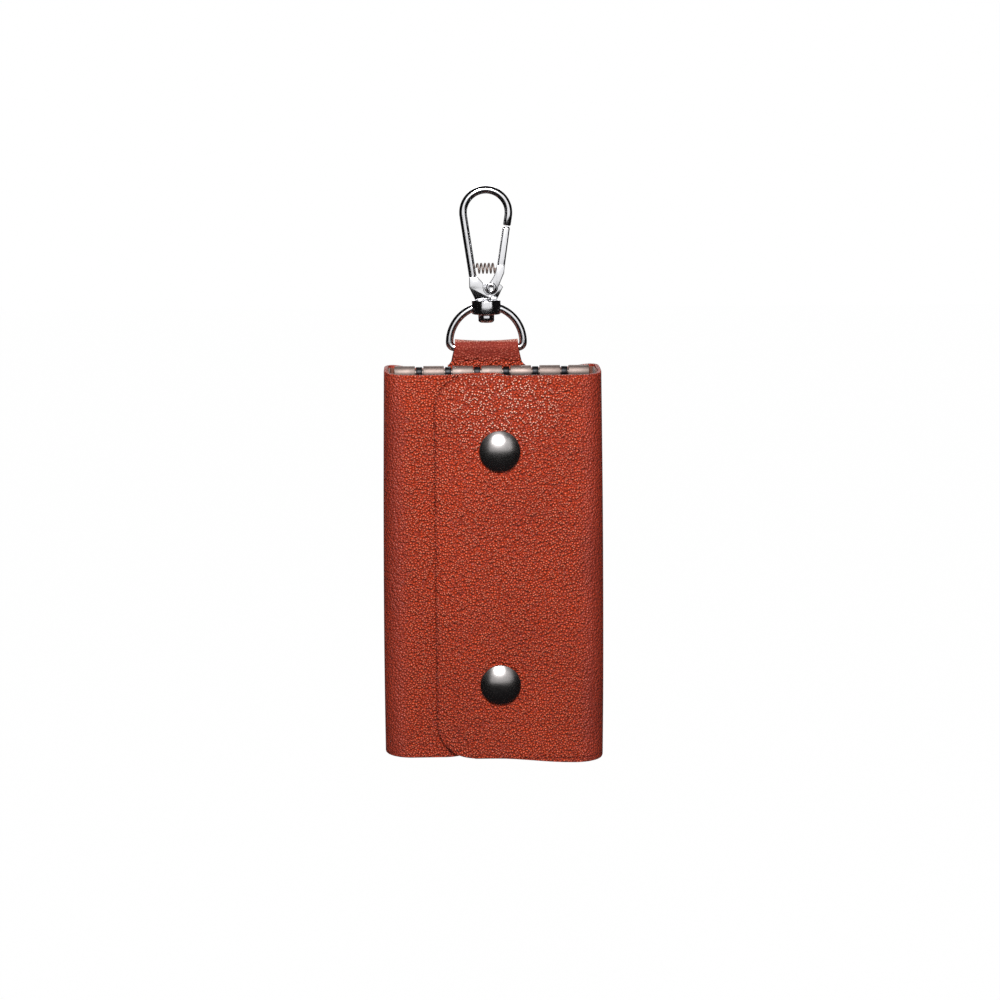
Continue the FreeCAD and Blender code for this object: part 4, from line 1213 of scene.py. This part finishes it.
def end_material(finish, **inputs):
    named = {name.replace("_", " "): value for name, value in inputs.items()}
    surface = finish.add("ShaderNodeBsdfPrincipled", {}, named)
    finish.add("ShaderNodeOutputMaterial", {}, {"Surface": surface})


def rgba(value):
    return (*value, 1.0)


def flap_outline(leather, across, along, up):
    """A painted shadow line along the upper flap's cut edge, round its corners too."""
    radius = sizes().flap_corner
    level = leather.maths("MINIMUM", RIM_Z - sizes().front_dip - up, up - FOOT_Z)
    short = leather.maths("MAXIMUM", radius - (across - FREE_EDGE["right"]), 0.0)
    low = leather.maths("MAXIMUM", radius - level, 0.0)
    inward = radius - leather.maths("SQRT", short * short + low * low, 0.0)
    line = leather.spread(leather.maths("ABSOLUTE", inward, 0.0), *EDGE_SHADOW, 1.0, 0.0)
    before = leather.spread(along, *(FRONT_Y["left"] + way for way in EDGE_DEPTH), 1.0, 0.0)
    return line * before


def make_leather():
    """Pebbled cowhide: rounded pebbles with darker valleys of dye and painted shade, and pale painted
    glints on their tops.
    """
    shade = colours()
    leather = start_material(FINISHES["leather"])
    place = leather.rest_place()
    ripple = leather.add(
        "ShaderNodeTexNoise", {}, {"Vector": place, "Scale": RIPPLES, "Detail": 1.0}, output="Color"
    )
    offset = leather.add("ShaderNodeVectorMath", {"operation": "SCALE"}, {0: ripple, "Scale": RIPPLE_REACH})
    bent = leather.add("ShaderNodeVectorMath", {"operation": "ADD"}, {0: place, 1: offset})
    cells = {"Vector": bent, "Scale": PEBBLES, "Randomness": 0.95}
    pebble = leather.add(
        "ShaderNodeTexVoronoi", {"feature": "SMOOTH_F1"}, {**cells, "Smoothness": 0.35}, output="Distance"
    )
    seam = leather.add("ShaderNodeTexVoronoi", {"feature": "DISTANCE_TO_EDGE"}, cells, output="Distance")
    drift = leather.noise(place, DYE_DRIFT, detail=3.0)
    lump = leather.noise(place, LUMPS, detail=1.0)
    crease = leather.spread(seam, 0.0, CREASE_WIDTH, 1.0, 0.0)
    top = leather.spread(pebble, *PEBBLE_TOP, 1.0, 0.0)
    across, along, up = (
        leather.add("ShaderNodeSeparateXYZ", {}, {"Vector": place}, output=axis) for axis in "XYZ"
    )
    pressed = leather.spread(up, RIM_Z, RIM_Z + PRESSED_RUN, 1.0, PRESSED_GRAIN)
    # Mask of the painted shadow line along the upper flap's cut edge, which also sinks the grain there.
    line = flap_outline(leather, across, along, up)
    aside = leather.maths("ABSOLUTE", across - CASE_MIDDLE, 0.0)
    # Towards the sides the grain is smoothed, and the colour is darkened as painted shade where the case
    # turns from the light.
    bend = leather.spread(aside, *(share * HALF_CASE for share in BENDS))
    grain = lump * RAISE["lump"] - pebble - crease * RAISE["crease"]
    height = grain * pressed * (1.0 - bend * RAISE["bend"]) - line * RAISE["line"]
    # Painted glints: pale pebble tops round a spot over the upper snap, and fainter ones that fade towards
    # the foot.
    glint_centre = (CASE_MIDDLE + GLINT_CENTRE[0], FRONT_Y["right"], RIM_Z + GLINT_CENTRE[1])
    reach = leather.add(
        "ShaderNodeVectorMath", {"operation": "DISTANCE"}, {0: place, 1: glint_centre}, output="Value"
    )
    glint_by_height = leather.spread(up, FOOT_Z, RIM_Z, *GLINT_BY_HEIGHT) * (1.0 - bend) * pressed
    polish = leather.maths("MAXIMUM", leather.spread(reach, *GLINT_REACH, GLINT_STRENGTH, 0.0), glint_by_height)
    # The tab above the rim and the bends are darkened towards the valley colour as painted shade; the drift
    # is dye.
    smooth = 1.0 - pressed
    dark = leather.spread(drift, *DRIFT_LIMITS, 0.0, DARKEN["drift"])
    dark = dark + smooth * DARKEN["pressed"] + bend * DARKEN["bend"]
    face = leather.mix(dark, rgba(shade.leather), rgba(shade.leather_valley_and_shade))
    # Lighter pebble tops: rubbed wear and painted glints, faded out over the bends.
    rubbed_and_glinting = top * TINT["top"] * pressed * (1.0 - bend * TINT["bend"])
    face_with_tips = leather.mix(rubbed_and_glinting, face, rgba(shade.leather_tip_and_glint))
    pale = leather.mix(top * polish * TINT["polish"], face_with_tips, rgba(shade.leather_painted_glint))
    # Painted highlight along the tab's fold over the ring's bar, in the pale glint colour.
    fold = leather.spread(up, *(STRAP_TOP + way for way in FOLD_HIGHLIGHT))
    wear_and_fold_highlight = leather.mix(fold * TINT["fold"], pale, rgba(shade.leather_painted_glint))
    # The painted shadow line along the upper flap's cut edge, in the valley colour.
    cut = leather.mix(line * TINT["line"], wear_and_fold_highlight, rgba(shade.leather_valley_and_shade))
    # Creases darkened towards the valley colour: darker dye and painted shade between the pebbles.
    tint = leather.mix(crease * TINT["crease"], cut, rgba(shade.leather_valley_and_shade))
    rough = ROUGHEN["plain"] + crease * ROUGHEN["crease"] + drift * ROUGHEN["drift"]
    rough = rough + smooth * ROUGHEN["pressed"] + bend * ROUGHEN["bend"]
    bump = leather.bump(height, 1.0, PEBBLE_DEPTH)
    end_material(leather, Base_Color=tint, Roughness=rough, Normal=bump, IOR=1.5, Specular_IOR_Level=0.34)


def make_lining():
    """Split leather lining: a fine nap with a soft sheen."""
    shade = colours()
    lining = start_material(FINISHES["lining"])
    place = lining.place()
    nap = lining.noise(place, NAP, detail=4.0)
    drift = lining.noise(place, NAP_DRIFT, detail=3.0)
    dark = tuple(part * LINING_DARK for part in shade.lining)
    tint = lining.mix(nap * 0.6 + drift * 0.4, rgba(dark), rgba(shade.lining))
    bump = lining.bump(nap, 0.5, NAP_DEPTH)
    end_material(
        lining, Base_Color=tint, Roughness=0.85, Normal=bump, Sheen_Weight=0.1, Sheen_Roughness=0.5
    )


def make_metal(slot, tone, rough, hairlines):
    """Plated metal with faint hairlines and handling marks."""
    metal = start_material(FINISHES[slot])
    place = metal.place()
    stretch = metal.add("ShaderNodeMapping", {}, {"Vector": place, "Scale": HAIRLINE_STRETCH})
    hairline = metal.noise(stretch, hairlines, detail=3.0)
    smudge = metal.noise(place, SMUDGES, detail=3.0)
    wear_and_fold_highlight = tuple(part * METAL_WORN for part in tone)
    tint = metal.mix(metal.spread(smudge, *SMUDGE_LIMITS), rgba(tone), rgba(wear_and_fold_highlight))
    roughness = rough + hairline * (rough * HAIRLINE_ROUGH) + smudge * (rough * SMUDGE_ROUGH)
    bump = metal.bump(hairline, 0.06, HAIRLINE_DEPTH)
    end_material(metal, Base_Color=tint, Metallic=1.0, Roughness=roughness, Normal=bump)


def make_materials():
    make_leather()
    make_lining()
    for slot, (rough, hairlines) in METALS.items():
        make_metal(slot, getattr(colours(), slot), rough, hairlines)


class KEYCASE_OT_stage(bpy.types.Operator):
    """Set the floor, the light and the camera"""

    bl_idname = "key_case.stage"
    bl_label = "Stage"

    def execute(self, context):
        scene = context.scene
        scene.view_settings.view_transform = "Standard"
        make_world(scene)
        make_floor()
        make_card()
        make_lights()
        make_camera(scene)
        return {"FINISHED"}


def seen_ray(finish):
    """One for the rays that show the backdrop itself."""
    kinds = ("Is Camera Ray", "Is Glossy Ray", "Is Transmission Ray")
    camera, glossy, through = [finish.add("ShaderNodeLightPath", output=kind) for kind in kinds]
    seen = finish.maths("MAXIMUM", camera, glossy)
    return finish.maths("MAXIMUM", seen, through)


def make_world(scene):
    world = scene.world or bpy.data.worlds.new("studio")
    scene.world = world
    world.use_nodes = True
    sky = Finish(world.node_tree)
    soft = sky.add("ShaderNodeBackground", {}, {"Color": (1, 1, 1, 1), "Strength": WORLD_LIGHT})
    white = sky.add("ShaderNodeBackground", {}, {"Color": (1, 1, 1, 1), "Strength": 1.0})
    surface = sky.add("ShaderNodeMixShader", {}, {0: seen_ray(sky), 1: soft, 2: white})
    sky.add("ShaderNodeOutputWorld", {}, {"Surface": surface})


def make_floor():
    middle = (0, 0, FOOT_Z - FLOOR_DROP)
    floor = add_new("floor", bpy.ops.mesh.primitive_plane_add, size=FLOOR_SIZE, location=middle)
    paint = start_material("floor")
    matt = paint.add("ShaderNodeBsdfDiffuse", {}, {"Color": rgba(colours().backdrop)})
    glow = paint.add("ShaderNodeEmission", {}, {"Color": (1, 1, 1, 1), "Strength": 1.0})
    surface = paint.add("ShaderNodeMixShader", {}, {0: seen_ray(paint) * FLOOR_GLOW, 1: matt, 2: glow})
    paint.add("ShaderNodeOutputMaterial", {}, {"Surface": surface})
    floor.data.materials.append(bpy.data.materials["floor"])


def make_card():
    """A dark card round the object with a window before it, which only reflections show."""
    low, high, front, depth, half = FOOT_Z - CARD_DROP, CARD_TOP, CARD_FRONT, CARD_DEPTH, CARD_HALF
    bpy.ops.object.select_all(action="DESELECT")
    bpy.ops.mesh.primitive_plane_add(size=1, location=(0, front + depth / 2, low))
    card = bpy.context.object
    card.name = "dark_card"
    card.scale = (2 * half, depth, 1)
    bpy.ops.object.transform_apply()
    walls = (
        (FOOT_Z, lambda place: place.y < front + WELD),
        (high, lambda place: place.x < WELD - half),
        (high, lambda place: place.x > half - WELD),
    )
    for top, edge in walls:
        edit_selected(card, lambda place: place.z < low + WELD and edge(place))
        bpy.ops.mesh.extrude_region_move(TRANSFORM_OT_translate={"value": (0, 0, top - low)})
        bpy.ops.object.mode_set(mode="OBJECT")
    edit_selected(card, lambda place: place.z > high - WELD and place.x < WELD - half)
    bpy.ops.mesh.extrude_region_move(TRANSFORM_OT_translate={"value": (2 * half, 0, 0)})
    bpy.ops.object.mode_set(mode="OBJECT")
    paint = start_material("dark_card")
    matt = paint.add("ShaderNodeBsdfDiffuse", {}, {"Color": rgba(CARD_TONE)})
    paint.add("ShaderNodeOutputMaterial", {}, {"Surface": matt})
    card.data.materials.append(bpy.data.materials["dark_card"])
    card.visible_camera = False
    card.visible_diffuse = False
    card.visible_shadow = False


def make_lights():
    target = Vector((CASE_MIDDLE, 0, (RIM_Z + FOOT_Z) / 2))
    for name, (place, width, height, power) in LAMPS.items():
        lamp = bpy.data.lights.new(name, "AREA")
        lamp.shape = "RECTANGLE"
        lamp.size = width
        lamp.size_y = height
        lamp.energy = power
        holder = bpy.data.objects.new(name, lamp)
        holder.location = place
        holder.rotation_euler = (target - Vector(place)).to_track_quat("-Z", "Y").to_euler()
        bpy.context.scene.collection.objects.link(holder)


def make_camera(scene):
    camera = bpy.data.cameras.new("camera")
    camera.sensor_width = SENSOR
    camera.lens = SENSOR * CAMERA_ZOOM
    holder = bpy.data.objects.new("camera", camera)
    yaw, pitch, roll = (math.radians(turn) for turn in CAMERA_TURN)
    aim = Matrix.Rotation(-yaw, 4, "Z") @ Matrix.Rotation(math.pi / 2 - pitch, 4, "X")
    aim = aim @ Matrix.Rotation(roll, 4, "Z")
    holder.matrix_world = Matrix.Translation(CAMERA_PLACE) @ aim
    scene.collection.objects.link(holder)
    scene.camera = holder


class KEYCASE_PT_panel(bpy.types.Panel):
    """Lists the steps of the build."""

    bl_idname = "KEYCASE_PT_panel"
    bl_label = "Key Case"
    bl_space_type = "VIEW_3D"
    bl_region_type = "UI"
    bl_category = "Key Case"

    def draw(self, context):
        for step in STEPS:
            self.layout.operator(step.bl_idname)


STEPS = (
    KEYCASE_OT_shell,
    KEYCASE_OT_strap,
    KEYCASE_OT_clasp,
    KEYCASE_OT_ring,
    KEYCASE_OT_snaps,
    KEYCASE_OT_key_holder,
    KEYCASE_OT_finish,
    KEYCASE_OT_stage,
)
CLASSES = (KeyCaseLeatherSizes, KeyCaseMetalSizes, KeyCaseColours, *STEPS, KEYCASE_PT_panel)


def register():
    for item in CLASSES:
        bpy.utils.register_class(item)
    bpy.types.Scene.key_case_leather = PointerProperty(type=KeyCaseLeatherSizes)
    bpy.types.Scene.key_case_metals = PointerProperty(type=KeyCaseMetalSizes)
    bpy.types.Scene.key_case_colours = PointerProperty(type=KeyCaseColours)


def unregister():
    del bpy.types.Scene.key_case_colours
    del bpy.types.Scene.key_case_metals
    del bpy.types.Scene.key_case_leather
    for item in reversed(CLASSES):
        bpy.utils.unregister_class(item)


def main():
    register()
    make_materials()
    for step in STEPS:
        getattr(bpy.ops.key_case, step.bl_idname.split(".")[1])()


if __name__ == "__main__":
    main()
